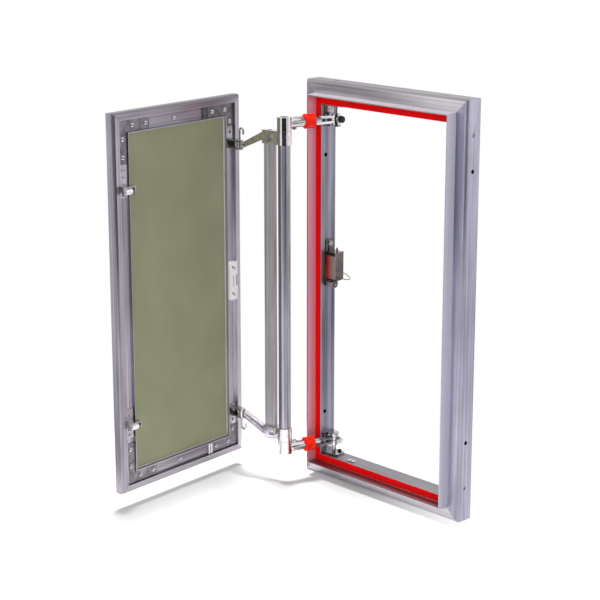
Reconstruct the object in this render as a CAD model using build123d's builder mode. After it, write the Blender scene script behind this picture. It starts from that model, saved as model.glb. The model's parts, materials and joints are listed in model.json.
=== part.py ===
from build123d import *
import math
import os

# Tile access panel: an aluminium frame for a wall opening and a leaf that carries a tiled board.
# The leaf hangs on two double-pivot hinges, so it first comes straight out of the wall and then
# swings aside. It stands here as in use, almost fully open.
# X runs along the wall, +Y goes into the wall, Z is up. The origin is the middle of the frame's
# bottom face.

os.makedirs("parts", exist_ok=True)

# Wall frame
frame_width = 308.0
frame_height = 600.0
frame_depth = 28.0
frame_wall = 1.6
edge_bevel_side = 2.3
edge_bevel_depth = 4.0
side_groove_gap = 1.2
side_groove_width = 0.8
side_groove_depth = 0.4

# Tile lip that stands forward of the frame's face
lip_height = 16.5
lip_foot_offset = 18.2
lip_foot_width = 4.2
lip_tip_offset = 19.8
lip_tip_width = 1.5

# Ledge with the groove for the seal
rib_rise = 1.2
outer_rib_width = 1.4
inner_rib_width = 1.3
seal_groove_width = 8.4
seal_groove_depth = 2.0
seal_side_gap = 0.1
seal_crown_rise = 0.8

# Corner cleats inside the frame's profile, held by crimps
cleat_leg = 66.0
cleat_wall = 3.0
cleat_gap = 0.15
crimp_from_corner = 49.0
crimp_dia = 6.0
crimp_depth = 1.2

# Anchor holes drilled through the stiles
anchor_hole_dia = 6.0
hinge_anchor_from_bottom = 99.1
hinge_anchor_from_top = 108.3
free_anchor_from_bottom = 116.0
free_anchor_from_top = 98.3
hinge_anchor_depth = 8.0
free_anchor_depth = 14.5

# Leaf rim and board
leaf_gap = 2.85
rim_thickness = 11.0
rim_wall = 1.5
ridge_rise = 4.0
ridge_bevel = 2.8
ridge_end = 11.0
channel_end = 28.3
channel_depth = 0.9
inner_lip_width = 1.3
inner_lip_rise = 3.0
board_thickness = 9.5
board_gap = 1.8

# Double-pivot hinge, upper set; the lower set is its mirror image
frame_pin_inset = 45.5
frame_pin_y = 3.0
frame_arm_length = 84.42
door_arm_length = 79.37
leaf_pin_along = 25.2
leaf_pin_behind = 25.5

# Pose in which the panel stands
frame_arm_angle = -106.37
door_arm_angle = 191.08
leaf_angle = -83.7

# Fits
running_fit = 0.05
face_gap = 0.3

# Levels of the upper hinge set, measured down from the frame's top
frame_arm_drop = 55.5
frame_bush_above = 8.5
frame_bush_below = 11.5
door_bush_height = 19.7
door_eye_drop = 94.5
door_eye_height = 9.0

# Frame arm
arm_dia = 15.0
bush_dia = 21.0
journal_dia = 12.0
knuckle_dia = 13.0
knuckle_half_height = 8.0
frame_pin_dia = 6.0
flat_end_length = 30.0
flat_end_overlap = 2.0
flat_end_width = 8.6
flat_end_root_height = 13.0
flat_end_tip_height = 10.0
slot_start = 9.0
slot_end = 27.0
slot_height = 4.6
sleeve_dia = 22.0
sleeve_length = 16.5
sleeve_from_elbow = 31.8
sleeve_edge = 1.2
grub_from_elbow = 16.0
grub_boss_dia = 7.5
grub_boss_drop = 2.0
grub_dia = 5.0
grub_proud = 1.2
grub_length = 5.5
grub_socket_across = 2.5
bolt_shank_dia = 5.0
bolt_head_across_flats = 9.0
bolt_head_height = 5.0
washer_dia = 11.5
washer_thickness = 1.2
bolt_boss_dia = 10.0
bolt_boss_reach = 7.1
bolt_turn = 111.4

# Elbow post and brace bar
post_dia = 18.0
journal_recess = 0.8
brace_width = 17.0
brace_thickness = 8.0
brace_wall = 1.5
brace_from_elbow = 24.7

# Door arm
block_wall = 2.5
block_end_wall = 1.6
block_top_wall = 4.4
block_start = 8.0
window_width = 10.0
window_height = 11.0
window_above_bottom = 3.0
screw_hole_dia = 6.5
screw_socket_across = 3.2
side_screw_above_bottom = 6.7
side_screw_dia = 5.5
lever_width = 9.0
lever_web = 3.0
lever_flange = 2.0
lever_root_height = 12.0
lever_root_above_bottom = 5.6
lever_tip_height = 8.6
lever_ear_clearance = 1.6
door_eye_dia = 11.0
door_pin_dia = 5.0

# Frame bracket
bracket_plate = 1.8
bracket_flange = 2.5
bracket_depth = 22.0
bracket_web_depth = 15.7
bracket_corner_cut = 3.6
bracket_back = 13.0
bracket_flange_length = 27.0
ear_reach = 19.0
bracket_screw_dia = 4.0
bracket_screw_head_dia = 6.4
bracket_screw_head_height = 2.6
bracket_socket_across = 2.7
bracket_screw_x = 5.4
bracket_screw_y = 5.8

# Door bracket
door_bracket_plate = 1.8
door_bracket_side_gap = 0.7
door_bracket_bottom_drop = 103.0
door_bracket_height = 32.0
door_ear_thickness = 2.2
door_ear_radius = 5.0
door_ear_foot = 10.5
door_web_thickness = 2.0
door_web_reach = 10.0
hook_wire = 3.2
hook_radius = 3.4
hook_rise = 13.7
hook_tail = 5.3
door_bracket_hole_dia = 5.0
door_bracket_hole_from_top = 8.0

# Corner plates, clips and rivets
plate_thickness = 1.5
plate_side_gap = 0.5
free_plate_leg = 72.0
hinge_plate_leg = 67.0
free_plate_stile_leg = 72.0
hinge_plate_stile_leg = 45.0
plate_corner_cut = 3.0
rivet_head_dia = 7.5
rivet_head_height = 1.6
rivet_head_chamfer = 0.8
rivet_head_taper = 50.0
rivet_shank_dia = 3.2
rivet_line = 19.8
free_rail_rivets = (38.5, 65.0)
free_stile_rivets = (37.5, 63.0)
hinge_rail_rivets = (30.5, 57.4)
hinge_stile_rivets = (38.0,)
middle_rivet_x = 135.0
clip_start = 67.7
clip_length = 8.2
clip_rise = 3.4
clip_slot = 2.6

# Striker block on the leaf
striker_below_middle = 32.0
striker_above_middle = 26.0
striker_side_gap = 0.3
striker_rise = 6.0
striker_corner = 2.5
striker_slot_length = 9.0
striker_slot_width = 4.2
striker_slot_tilt = 35.0
striker_slot_inset = 9.0
striker_key_length = 17.0
striker_key_width = 3.4
striker_notch_depth = 3.0
striker_screw_head_dia = 3.8

# Guide rollers on the leaf's free side
roller_dia = 9.4
roller_length = 13.0
roller_from_edge = 11.9
roller_height = 9.9
roller_edge = 0.6
roller_axle_dia = 3.0
guide_ear_thickness = 1.5
guide_far_ear_gap = 3.2
guide_ear_low = 4.8
guide_ear_top = 14.0
guide_web_thickness = 1.5
guide_web_gap = 1.0
guide_web_foot = 7.0
guide_foot_width = 14.0
guide_plate = 1.5
# Each guide roller's place: distance from the leaf's nearest end, the foot's reach below and above
# the roller's axis, and the screws' levels from that axis
top_guide_from_end = 108.75
top_guide_foot = (10.5, 36.5)
top_guide_screws = (28.4, 19.0, -7.7)
bottom_guide_from_end = 100.25
bottom_guide_foot = (19.5, 24.0)
bottom_guide_screws = (19.5, -8.5, -16.0)

# Push latch on the hinge stile
latch_below_middle = 3.0
latch_above_middle = 66.0
latch_front = -6.0
latch_back = 11.0
latch_plate_thickness = 1.4
latch_plate_corner = 3.0
housing_above_middle = 6.0
housing_height = 39.5
housing_front = -3.7
housing_back = 14.5
housing_reach = 16.6
housing_corner = 1.0
housing_wall = 2.0
cover_thickness = 1.2
cover_overhang = 0.7
spring_bore_dia = 10.0
rod_dia = 2.8
rod_x = 10.5
rod_y = 8.0
rod_reach = 7.2
collar_dia = 9.4
collar_height = 2.5
spring_wire = 1.0
spring_turns = 5
latch_roller_dia = 9.5
latch_roller_y = -2.0
latch_roller_drop = 7.4
latch_axle_dia = 3.0
yoke_sheet = 1.3
yoke_drop = 2.1
yoke_side_gap = 0.4
yoke_ear_radius = 4.5
rod_point = 1.1
loop_wire = 1.2
loop_reach = 22.0
loop_width = 17.0
loop_tilt = 53.0
loop_leg = 6.0
loop_sides = 6
loop_above_housing_bottom = 7.0
loop_y = 4.4
latch_screw_from_top = 7.4
latch_screw_dia = 4.0
latch_screw_head_dia = 8.6
latch_screw_head_height = 2.2

# Clip on the bottom rail
rail_clip_x = -64.0
rail_clip_y = -5.6
rail_clip_length = 14.0
rail_clip_width = 8.0
rail_clip_thickness = 1.2
rail_clip_screw_dia = 5.0

# Worked out from the sizes above
front_y = -frame_depth / 2
side_x = -frame_width / 2
lip_foot_end = lip_foot_offset + lip_foot_width
groove_start = lip_foot_end + outer_rib_width
groove_end = groove_start + seal_groove_width
frame_band = groove_end + inner_rib_width
leaf_width = frame_width - 2 * (lip_foot_end + leaf_gap)
leaf_height = frame_height - 2 * (lip_foot_end + leaf_gap)
stile_wall_x = side_x + frame_band
top_wall_z = frame_height - frame_band
mid_height = Plane.XY.offset(frame_height / 2)


def polar(start, length, angle):
    """The point at a distance and an angle in degrees from start, in plan."""
    turn = math.radians(angle)
    return (start[0] + length * math.cos(turn), start[1] + length * math.sin(turn))


def swung(point, level, angle):
    """A work plane over a point in plan, its X axis turned by an angle in degrees."""
    turn = math.radians(angle)
    return Plane(origin=(point[0], point[1], level), x_dir=(math.cos(turn), math.sin(turn), 0),
                 z_dir=(0, 0, 1))


def on(base, plane):
    """A plane given in the coordinates of another plane."""
    return Plane(base.location * plane.location)


# Hinge pivots in plan, from the wall outwards to the leaf
frame_pin = (side_x + frame_pin_inset, frame_pin_y)
elbow = polar(frame_pin, frame_arm_length, frame_arm_angle)
door_pin = polar(elbow, door_arm_length, door_arm_angle)
leaf_foot = polar(door_pin, -leaf_pin_along, leaf_angle)
leaf_foot = polar(leaf_foot, -leaf_pin_behind, leaf_angle + 90)
leaf_bottom = lip_foot_end + leaf_gap

# Leaf coordinates: X from the hinge edge across the leaf, Y out of its back, Z up
leaf = swung(leaf_foot, leaf_bottom, leaf_angle)
wall_frame = Plane(origin=(side_x, front_y, 0))


def rectangle_sides(base, width, height):
    """Planes and lengths of the four bars round a rectangle, X inward and Y through the bar."""
    return {
        "hinge_stile": (on(base, Plane((0, 0, 0), (1, 0, 0), (0, 0, 1))), height),
        "free_stile": (on(base, Plane((width, 0, height), (-1, 0, 0), (0, 0, -1))), height),
        "bottom_rail": (on(base, Plane((width, 0, 0), (0, 0, 1), (-1, 0, 0))), width),
        "top_rail": (on(base, Plane((0, 0, height), (0, 0, -1), (1, 0, 0))), width),
    }


def mitred_bar(plane, length, outline, hollow=None):
    """One bar of an extruded profile, cut at 45 degrees at both ends."""
    with BuildPart() as bar:
        with BuildSketch(plane):
            with BuildLine():
                Polyline(*outline, close=True)
            make_face()
            if hollow:
                with BuildLine():
                    Polyline(*hollow, close=True)
                make_face(mode=Mode.SUBTRACT)
        extrude(amount=length)
        split(bisect_by=on(plane, Plane((0, 0, 0), z_dir=(-1, 0, 1))))
        split(bisect_by=on(plane, Plane((0, 0, length), z_dir=(-1, 0, -1))))
    return bar.part


def half_turn(radius, sides=4):
    """Points of a half circle in short straight runs, from (0, 0) over (radius, radius)."""
    turns = [math.pi * step / sides for step in range(sides + 1)]
    return [(radius - radius * math.cos(turn), radius * math.sin(turn)) for turn in turns]


def finish(part, name):
    """Label a finished piece and write it."""
    part.label = name
    export_step(part, f"parts/{name}.step")


# Frame bars: a closed box profile with a bevelled outer edge, the tile lip and the seal's groove
groove_side = edge_bevel_depth + side_groove_gap
frame_outline = [
    (0, frame_depth),
    (0, groove_side + side_groove_width),
    (side_groove_depth, groove_side + side_groove_width / 2),
    (0, groove_side),
    (0, edge_bevel_depth),
    (edge_bevel_side, 0),
    (lip_foot_offset, 0),
    (lip_tip_offset, -lip_height),
    (lip_tip_offset + lip_tip_width, -lip_height),
    (lip_foot_end, -rib_rise),
    (groove_start, -rib_rise),
    (groove_start, seal_groove_depth),
    (groove_end, seal_groove_depth),
    (groove_end, -rib_rise),
    (frame_band, -rib_rise),
    (frame_band, frame_depth),
]
chamber_front = seal_groove_depth + frame_wall
frame_hollow = [
    (frame_wall, edge_bevel_depth + side_groove_gap),
    (frame_wall + edge_bevel_side, frame_wall),
    (lip_foot_end - frame_wall, frame_wall),
    (lip_foot_end, chamber_front),
    (frame_band - frame_wall, chamber_front),
    (frame_band - frame_wall, frame_depth - frame_wall),
    (frame_wall, frame_depth - frame_wall),
]
anchor_levels = {"hinge_stile": (hinge_anchor_from_bottom, frame_height - hinge_anchor_from_top),
                 "free_stile": (free_anchor_from_top, frame_height - free_anchor_from_bottom)}
anchor_depths = {"hinge_stile": hinge_anchor_depth, "free_stile": free_anchor_depth}
for side, (plane, length) in rectangle_sides(wall_frame, frame_width, frame_height).items():
    outer_face = on(plane, Plane((0, 0, 0), (0, 0, 1), (1, 0, 0)))
    with BuildPart() as frame_bar:
        add(mitred_bar(plane, length, frame_outline, frame_hollow))
        with BuildSketch(outer_face):
            with Locations((crimp_from_corner, -frame_depth / 2),
                           (length - crimp_from_corner, -frame_depth / 2)):
                Circle(crimp_dia / 2)
        extrude(amount=crimp_depth, mode=Mode.SUBTRACT)
        if side in anchor_levels:
            with BuildSketch(outer_face):
                with Locations(*[(level, -anchor_depths[side]) for level in anchor_levels[side]]):
                    Circle(anchor_hole_dia / 2)
            extrude(amount=frame_band, mode=Mode.SUBTRACT)
    finish(frame_bar.part, f"frame_{side}")

# Seal: a rubber strip with a rounded crown, mitred at the corners, lying in the groove
seal_left = groove_start + seal_side_gap
seal_right = groove_end - seal_side_gap
seal_names = {"hinge_stile": "seal_hinge_side", "free_stile": "seal_free_side",
              "bottom_rail": "seal_bottom", "top_rail": "seal_top"}
for side, (plane, length) in rectangle_sides(wall_frame, frame_width, frame_height).items():
    with BuildPart() as seal:
        with BuildSketch(plane):
            with BuildLine():
                Line((seal_left, 0), (seal_left, seal_groove_depth))
                Line((seal_left, seal_groove_depth), (seal_right, seal_groove_depth))
                Line((seal_right, seal_groove_depth), (seal_right, 0))
                ThreePointArc((seal_right, 0), ((seal_left + seal_right) / 2, -seal_crown_rise),
                              (seal_left, 0))
            make_face()
        extrude(amount=length)
        split(bisect_by=on(plane, Plane((0, 0, 0), z_dir=(-1, 0, 1))))
        split(bisect_by=on(plane, Plane((0, 0, length), z_dir=(-1, 0, -1))))
    finish(seal.part, seal_names[side])

# Corner cleats: angles cut from a hollow profile, inside the chamber at each mitre
cleat_out = frame_wall + cleat_gap
cleat_in = frame_band - frame_wall - cleat_gap
cleat_front = edge_bevel_depth + side_groove_gap + cleat_gap
cleat_back = frame_depth - frame_wall - cleat_gap
with BuildPart() as frame_corner_cleats:
    with BuildSketch(on(wall_frame, Plane.XZ.offset(-cleat_front))):
        with BuildLine():
            Polyline((cleat_out, cleat_out), (cleat_leg, cleat_out), (cleat_leg, cleat_in),
                     (cleat_in, cleat_in), (cleat_in, cleat_leg), (cleat_out, cleat_leg), close=True)
        make_face()
        offset(amount=-cleat_wall, mode=Mode.SUBTRACT)
    extrude(amount=cleat_front - cleat_back)
    mirror(about=Plane.YZ)
    mirror(about=mid_height)
finish(frame_corner_cleats.part, "frame_corner_cleats")

# Frame bracket: a sheet on the stile's wall, a flange under the rail and an ear below the arm
arm_level = frame_height - frame_arm_drop
knuckle_bottom = arm_level - knuckle_half_height
ear_top = knuckle_bottom - face_gap
bracket_front = bracket_back - bracket_depth
plate_face_x = stile_wall_x + bracket_plate
with BuildPart() as frame_bracket_top:
    with BuildSketch(Plane.XY.offset(ear_top - bracket_flange)):
        with Locations((stile_wall_x, bracket_front)):
            Rectangle(bracket_plate, bracket_depth, align=(Align.MIN, Align.MIN))
    extrude(amount=top_wall_z - ear_top + bracket_flange)
    with BuildSketch(Plane.XY.offset(ear_top - bracket_flange)) as ear_outline:
        with Locations(frame_pin):
            Circle(ear_reach - frame_pin_inset + frame_band)
        with Locations((stile_wall_x, frame_pin_y)):
            Rectangle(bracket_plate, bracket_web_depth, align=(Align.MIN, Align.CENTER))
        make_hull()
    extrude(amount=bracket_flange)
    with BuildSketch(Plane.XY.offset(top_wall_z - bracket_flange)) as flange_outline:
        with Locations((stile_wall_x, bracket_front)):
            Rectangle(bracket_flange_length, bracket_depth, align=(Align.MIN, Align.MIN))
        chamfer(flange_outline.vertices().sort_by(Axis.X)[-2:], bracket_corner_cut)
    extrude(amount=bracket_flange)
    with BuildSketch(Plane.XY.offset(ear_top - bracket_flange)):
        with Locations(frame_pin):
            Circle(frame_pin_dia / 2 + running_fit)
    extrude(amount=top_wall_z - ear_top + bracket_flange, mode=Mode.SUBTRACT)
    with BuildSketch(Plane.XY.offset(top_wall_z - bracket_flange)):
        with Locations((frame_pin[0] + bracket_screw_x, frame_pin[1] + bracket_screw_y)):
            Circle(bracket_screw_dia / 2)
    extrude(amount=bracket_flange, mode=Mode.SUBTRACT)
finish(frame_bracket_top.part, "frame_bracket_top")
with BuildPart() as frame_bracket_bottom:
    mirror(frame_bracket_top.part, about=mid_height)
finish(frame_bracket_bottom.part, "frame_bracket_bottom")

# Screws of the frame brackets, with hexagon sockets
with BuildPart() as frame_bracket_screws:
    screw_axis = (frame_pin[0] + bracket_screw_x, frame_pin[1] + bracket_screw_y)
    with BuildSketch(Plane.XY.offset(top_wall_z - bracket_flange)):
        with Locations(screw_axis):
            Circle(bracket_screw_dia / 2)
    extrude(amount=bracket_flange)
    with BuildSketch(Plane.XY.offset(top_wall_z - bracket_flange)):
        with Locations(screw_axis):
            Circle(bracket_screw_head_dia / 2)
    extrude(amount=-bracket_screw_head_height)
    with BuildSketch(Plane.XY.offset(top_wall_z - bracket_flange - bracket_screw_head_height)):
        with Locations(screw_axis):
            RegularPolygon(bracket_socket_across / 2, 6)
    extrude(amount=bracket_screw_head_height / 2, mode=Mode.SUBTRACT)
    mirror(about=mid_height)
finish(frame_bracket_screws.part, "frame_bracket_screws")

# Frame hinge pin: turns with the arm in the bracket's two bores
with BuildPart() as frame_hinge_pin_top:
    with BuildSketch(Plane.XY.offset(ear_top - bracket_flange - face_gap)):
        with Locations(frame_pin):
            Circle(frame_pin_dia / 2)
    extrude(amount=top_wall_z - ear_top + bracket_flange)
finish(frame_hinge_pin_top.part, "frame_hinge_pin_top")
with BuildPart() as frame_hinge_pin_bottom:
    mirror(frame_hinge_pin_top.part, about=mid_height)
finish(frame_hinge_pin_bottom.part, "frame_hinge_pin_bottom")

# Frame arm: elbow bush, round shaft, flattened end with a long slot, and the knuckle on the pin
frame_arm = swung(frame_pin, arm_level, frame_arm_angle)
bolt_axis = on(frame_arm, Plane((0, 0, 0), z_dir=(math.cos(math.radians(bolt_turn)),
                                                  math.sin(math.radians(bolt_turn)), 0)))
with BuildPart() as frame_arm_top:
    with BuildSketch(on(frame_arm, Plane.YZ.offset(flat_end_length - flat_end_overlap))):
        Circle(arm_dia / 2)
    extrude(amount=frame_arm_length - flat_end_length - journal_dia / 2)
    with BuildSketch(on(frame_arm, Plane.XY.offset(-frame_bush_below))):
        with Locations((frame_arm_length, 0)):
            Circle(bush_dia / 2)
    extrude(amount=frame_bush_above + frame_bush_below)
    with BuildSketch(on(frame_arm, Plane.XZ)):
        with BuildLine():
            Polyline((0, -flat_end_tip_height / 2), (flat_end_length, -flat_end_root_height / 2),
                     (flat_end_length, flat_end_root_height / 2), (0, flat_end_tip_height / 2),
                     close=True)
        make_face()
        with Locations(((slot_start + slot_end) / 2, 0)):
            SlotOverall(slot_end - slot_start, slot_height, mode=Mode.SUBTRACT)
    extrude(amount=flat_end_width / 2, both=True)
    with BuildSketch(on(frame_arm, Plane.XY.offset(-knuckle_half_height))):
        Circle(knuckle_dia / 2)
    extrude(amount=2 * knuckle_half_height)
    with BuildSketch(bolt_axis):
        Circle(bolt_boss_dia / 2)
    extrude(amount=bolt_boss_reach)
    with BuildSketch(on(frame_arm, Plane.XY.offset(-arm_dia / 2 - grub_boss_drop))):
        with Locations((frame_arm_length - grub_from_elbow, 0)):
            Circle(grub_boss_dia / 2)
    extrude(amount=arm_dia / 2)
    with BuildSketch(on(frame_arm, Plane.XY.offset(-knuckle_half_height))):
        Circle(frame_pin_dia / 2)
    extrude(amount=2 * knuckle_half_height, mode=Mode.SUBTRACT)
    with BuildSketch(bolt_axis):
        Circle(bolt_shank_dia / 2)
    extrude(amount=bolt_boss_reach, mode=Mode.SUBTRACT)
    with BuildSketch(on(frame_arm, Plane.XY.offset(-frame_bush_below))):
        with Locations((frame_arm_length, 0)):
            Circle(journal_dia / 2)
    extrude(amount=frame_bush_above + frame_bush_below, mode=Mode.SUBTRACT)
    with BuildSketch(on(frame_arm, Plane.XY.offset(-arm_dia / 2 - grub_boss_drop))):
        with Locations((frame_arm_length - grub_from_elbow, 0)):
            Circle(grub_dia / 2)
    extrude(amount=grub_length - grub_proud, mode=Mode.SUBTRACT)
finish(frame_arm_top.part, "frame_arm_top")
with BuildPart() as frame_arm_bottom:
    mirror(frame_arm_top.part, about=mid_height)
finish(frame_arm_bottom.part, "frame_arm_bottom")

# Buffer sleeve on the arm
with BuildPart() as arm_sleeve_top:
    with BuildSketch(on(frame_arm, Plane.YZ.offset(
            frame_arm_length - sleeve_from_elbow - sleeve_length))):
        Circle(sleeve_dia / 2)
    extrude(amount=sleeve_length)
    chamfer(arm_sleeve_top.edges().filter_by(GeomType.CIRCLE), sleeve_edge)
    with BuildSketch(on(frame_arm, Plane.YZ.offset(
            frame_arm_length - sleeve_from_elbow - sleeve_length))):
        Circle(arm_dia / 2)
    extrude(amount=sleeve_length, mode=Mode.SUBTRACT)
finish(arm_sleeve_top.part, "arm_sleeve_top")
with BuildPart() as arm_sleeve_bottom:
    mirror(arm_sleeve_top.part, about=mid_height)
finish(arm_sleeve_bottom.part, "arm_sleeve_bottom")

# Clamp bolts: hexagon head and washer on the knuckle's boss, shank up to the pin
with BuildPart() as arm_clamp_bolts:
    with BuildSketch(bolt_axis):
        Circle(bolt_shank_dia / 2)
    extrude(amount=bolt_boss_reach)
    with BuildSketch(on(bolt_axis, Plane.XY.offset(bolt_boss_reach))):
        Circle(washer_dia / 2)
    extrude(amount=washer_thickness)
    with BuildSketch(on(bolt_axis, Plane.XY.offset(bolt_boss_reach + washer_thickness))):
        RegularPolygon(bolt_head_across_flats / 2, 6, major_radius=False)
    extrude(amount=bolt_head_height)
    with BuildSketch(on(frame_arm, Plane.XY.offset(-knuckle_half_height))):
        Circle(frame_pin_dia / 2)
    extrude(amount=2 * knuckle_half_height, mode=Mode.SUBTRACT)
    mirror(about=mid_height)
finish(arm_clamp_bolts.part, "arm_clamp_bolts")

# Set screws under the arms, with hexagon sockets
with BuildPart() as arm_grub_screws:
    with BuildSketch(on(frame_arm, Plane.XY.offset(-arm_dia / 2 - grub_boss_drop - grub_proud))):
        with Locations((frame_arm_length - grub_from_elbow, 0)):
            Circle(grub_dia / 2)
            RegularPolygon(grub_socket_across / 2, 6, mode=Mode.SUBTRACT)
    extrude(amount=grub_proud)
    with BuildSketch(on(frame_arm, Plane.XY.offset(-arm_dia / 2 - grub_boss_drop))):
        with Locations((frame_arm_length - grub_from_elbow, 0)):
            Circle(grub_dia / 2)
    extrude(amount=grub_length - grub_proud)
    mirror(about=mid_height)
finish(arm_grub_screws.part, "arm_grub_screws")

# Elbow post: ties both frame arms; its turned-down ends carry the door arms
bush_bottom = arm_level - frame_bush_below
door_bush_top = bush_bottom - face_gap
door_bush_bottom = door_bush_top - door_bush_height
post_top = door_bush_bottom - face_gap
journal_top = arm_level + frame_bush_above - journal_recess
with BuildPart() as elbow_post:
    with BuildSketch(swung(elbow, frame_height - post_top, frame_arm_angle)):
        Circle(post_dia / 2)
    extrude(amount=2 * post_top - frame_height)
    with BuildSketch(swung(elbow, frame_height - journal_top, frame_arm_angle)):
        Circle(journal_dia / 2)
    extrude(amount=2 * journal_top - frame_height)
finish(elbow_post.part, "elbow_post")

# Door arm: elbow bush, socket block for the brace bar, and an I-shaped lever down to the eye
door_arm = swung(elbow, door_bush_bottom, door_arm_angle)
block_half_width = brace_thickness / 2 + block_wall
block_end = brace_from_elbow + brace_width / 2 + block_end_wall
eye_level = frame_height - door_eye_drop - door_bush_bottom
socket_top = door_bush_height - block_top_wall
lever_tip = door_arm_length - door_ear_radius - lever_ear_clearance
with BuildPart() as door_arm_top:
    with BuildSketch(door_arm):
        Circle(bush_dia / 2)
        with Locations((block_start, 0)):
            Rectangle(block_end - block_start, 2 * block_half_width, align=(Align.MIN, Align.CENTER))
    extrude(amount=door_bush_height)
    with BuildSketch(on(door_arm, Plane.XZ)) as lever_side:
        with BuildLine():
            Polyline((block_end - block_end_wall, lever_root_above_bottom),
                     (lever_tip, eye_level - lever_tip_height / 2),
                     (door_arm_length, eye_level - lever_tip_height / 2),
                     (door_arm_length, eye_level + lever_tip_height / 2),
                     (lever_tip, eye_level + lever_tip_height / 2),
                     (block_end - block_end_wall, lever_root_above_bottom + lever_root_height),
                     close=True)
        make_face()
    extrude(amount=lever_width / 2, both=True)
    for half in (1, -1):
        with BuildSketch(on(door_arm, Plane.XZ.offset(half * lever_web / 2))):
            with BuildLine():
                Polyline((block_end, lever_root_above_bottom + lever_flange),
                         (lever_tip, eye_level - lever_tip_height / 2 + lever_flange),
                         (lever_tip, eye_level + lever_tip_height / 2 - lever_flange),
                         (block_end, lever_root_above_bottom + lever_root_height - lever_flange),
                         close=True)
            make_face()
        extrude(amount=half * lever_width, mode=Mode.SUBTRACT)
    with BuildSketch(on(door_arm, Plane.XY.offset(eye_level - door_eye_height / 2))):
        with Locations((door_arm_length, 0)):
            Circle(door_eye_dia / 2)
    extrude(amount=door_eye_height)
    with BuildSketch(on(door_arm, Plane.XY.offset(eye_level - lever_root_height))):
        with Locations((door_arm_length, 0)):
            Circle(door_pin_dia / 2 + running_fit)
    extrude(amount=2 * lever_root_height, mode=Mode.SUBTRACT)
    with BuildSketch(door_arm):
        Circle(journal_dia / 2 + running_fit)
    extrude(amount=door_bush_height, mode=Mode.SUBTRACT)
    with BuildSketch(door_arm):
        with Locations((brace_from_elbow, 0)):
            Rectangle(brace_width, brace_thickness)
    extrude(amount=socket_top, mode=Mode.SUBTRACT)
    with BuildSketch(on(door_arm, Plane.XY.offset(socket_top))):
        with Locations((brace_from_elbow, 0)):
            Circle(screw_hole_dia / 2)
    extrude(amount=block_top_wall, mode=Mode.SUBTRACT)
    with BuildSketch(on(door_arm, Plane.XZ.offset(-brace_thickness / 2))):
        with Locations((brace_from_elbow, window_above_bottom)):
            Rectangle(window_width, window_height, align=(Align.MAX, Align.MIN))
    extrude(amount=-block_wall, mode=Mode.SUBTRACT)
finish(door_arm_top.part, "door_arm_top")
with BuildPart() as door_arm_bottom:
    mirror(door_arm_top.part, about=mid_height)
finish(door_arm_bottom.part, "door_arm_bottom")

# Brace bar: rectangular tube held in both sockets
brace_top = door_bush_bottom + socket_top
with BuildPart() as brace_bar:
    with BuildSketch(swung(elbow, frame_height - brace_top, door_arm_angle)):
        with Locations((brace_from_elbow, 0)):
            Rectangle(brace_width, brace_thickness)
            Rectangle(brace_width - 2 * brace_wall, brace_thickness - 2 * brace_wall,
                      mode=Mode.SUBTRACT)
    extrude(amount=2 * brace_top - frame_height)
finish(brace_bar.part, "brace_bar")

# Screws that hold the brace bar: flat heads sunk in the blocks' outer faces
with BuildPart() as brace_bar_screws:
    with BuildSketch(on(door_arm, Plane.XY.offset(socket_top))):
        with Locations((brace_from_elbow, 0)):
            Circle(screw_hole_dia / 2)
            RegularPolygon(screw_socket_across / 2, 6, mode=Mode.SUBTRACT)
    extrude(amount=block_top_wall / 2)
    with BuildSketch(on(door_arm, Plane.XZ.offset(-brace_thickness / 2))):
        with Locations((brace_from_elbow - window_width / 2, side_screw_above_bottom)):
            Circle(side_screw_dia / 2)
    extrude(amount=-block_wall)
    mirror(about=mid_height)
finish(brace_bar_screws.part, "brace_bar_screws")

# Leaf rim: hollow profile with a bevelled ridge, a channel for the fittings and an inner lip
lip_start = channel_end
rim_band = channel_end + inner_lip_width
rim_outline = [
    (0, -rim_thickness),
    (rim_band, -rim_thickness),
    (rim_band, inner_lip_rise),
    (lip_start, inner_lip_rise),
    (lip_start, -channel_depth),
    (ridge_end, -channel_depth),
    (ridge_end, ridge_rise),
    (ridge_bevel, ridge_rise),
    (0, 0),
]
rim_hollow = [
    (rim_wall, rim_wall - rim_thickness),
    (lip_start - rim_wall, rim_wall - rim_thickness),
    (lip_start - rim_wall, -channel_depth - rim_wall),
    (ridge_end - rim_wall, -channel_depth - rim_wall),
    (ridge_end - rim_wall, ridge_rise - rim_wall),
    (ridge_bevel + rim_wall / 2, ridge_rise - rim_wall),
    (rim_wall, -rim_wall / 2),
]


def leaf_corner(across, along, free, top):
    """A point on the leaf's back, measured from the nearest stile edge and rail edge."""
    x = leaf_width - across if free else across
    z = leaf_height - along if top else along
    return (x, z)


rivet_points = []
for top in (False, True):
    for along in free_stile_rivets:
        rivet_points.append(leaf_corner(rivet_line, along, True, top))
    for across in free_rail_rivets:
        rivet_points.append(leaf_corner(across, rivet_line, True, top))
    for along in hinge_stile_rivets:
        rivet_points.append(leaf_corner(rivet_line, along, False, top))
    for across in hinge_rail_rivets:
        rivet_points.append(leaf_corner(across, rivet_line, False, top))
middle_points = [leaf_corner(middle_rivet_x, rivet_line, False, top) for top in (False, True)]

channel_floor = on(leaf, Plane.XZ.offset(channel_depth))
for side, (plane, length) in rectangle_sides(leaf, leaf_width, leaf_height).items():
    with BuildPart() as rim_bar:
        add(mitred_bar(plane, length, rim_outline, rim_hollow))
        with BuildSketch(channel_floor):
            with Locations(*rivet_points, *middle_points):
                Circle(rivet_shank_dia / 2)
        extrude(amount=rim_wall, mode=Mode.SUBTRACT)
    finish(rim_bar.part, f"door_{side}")

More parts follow.
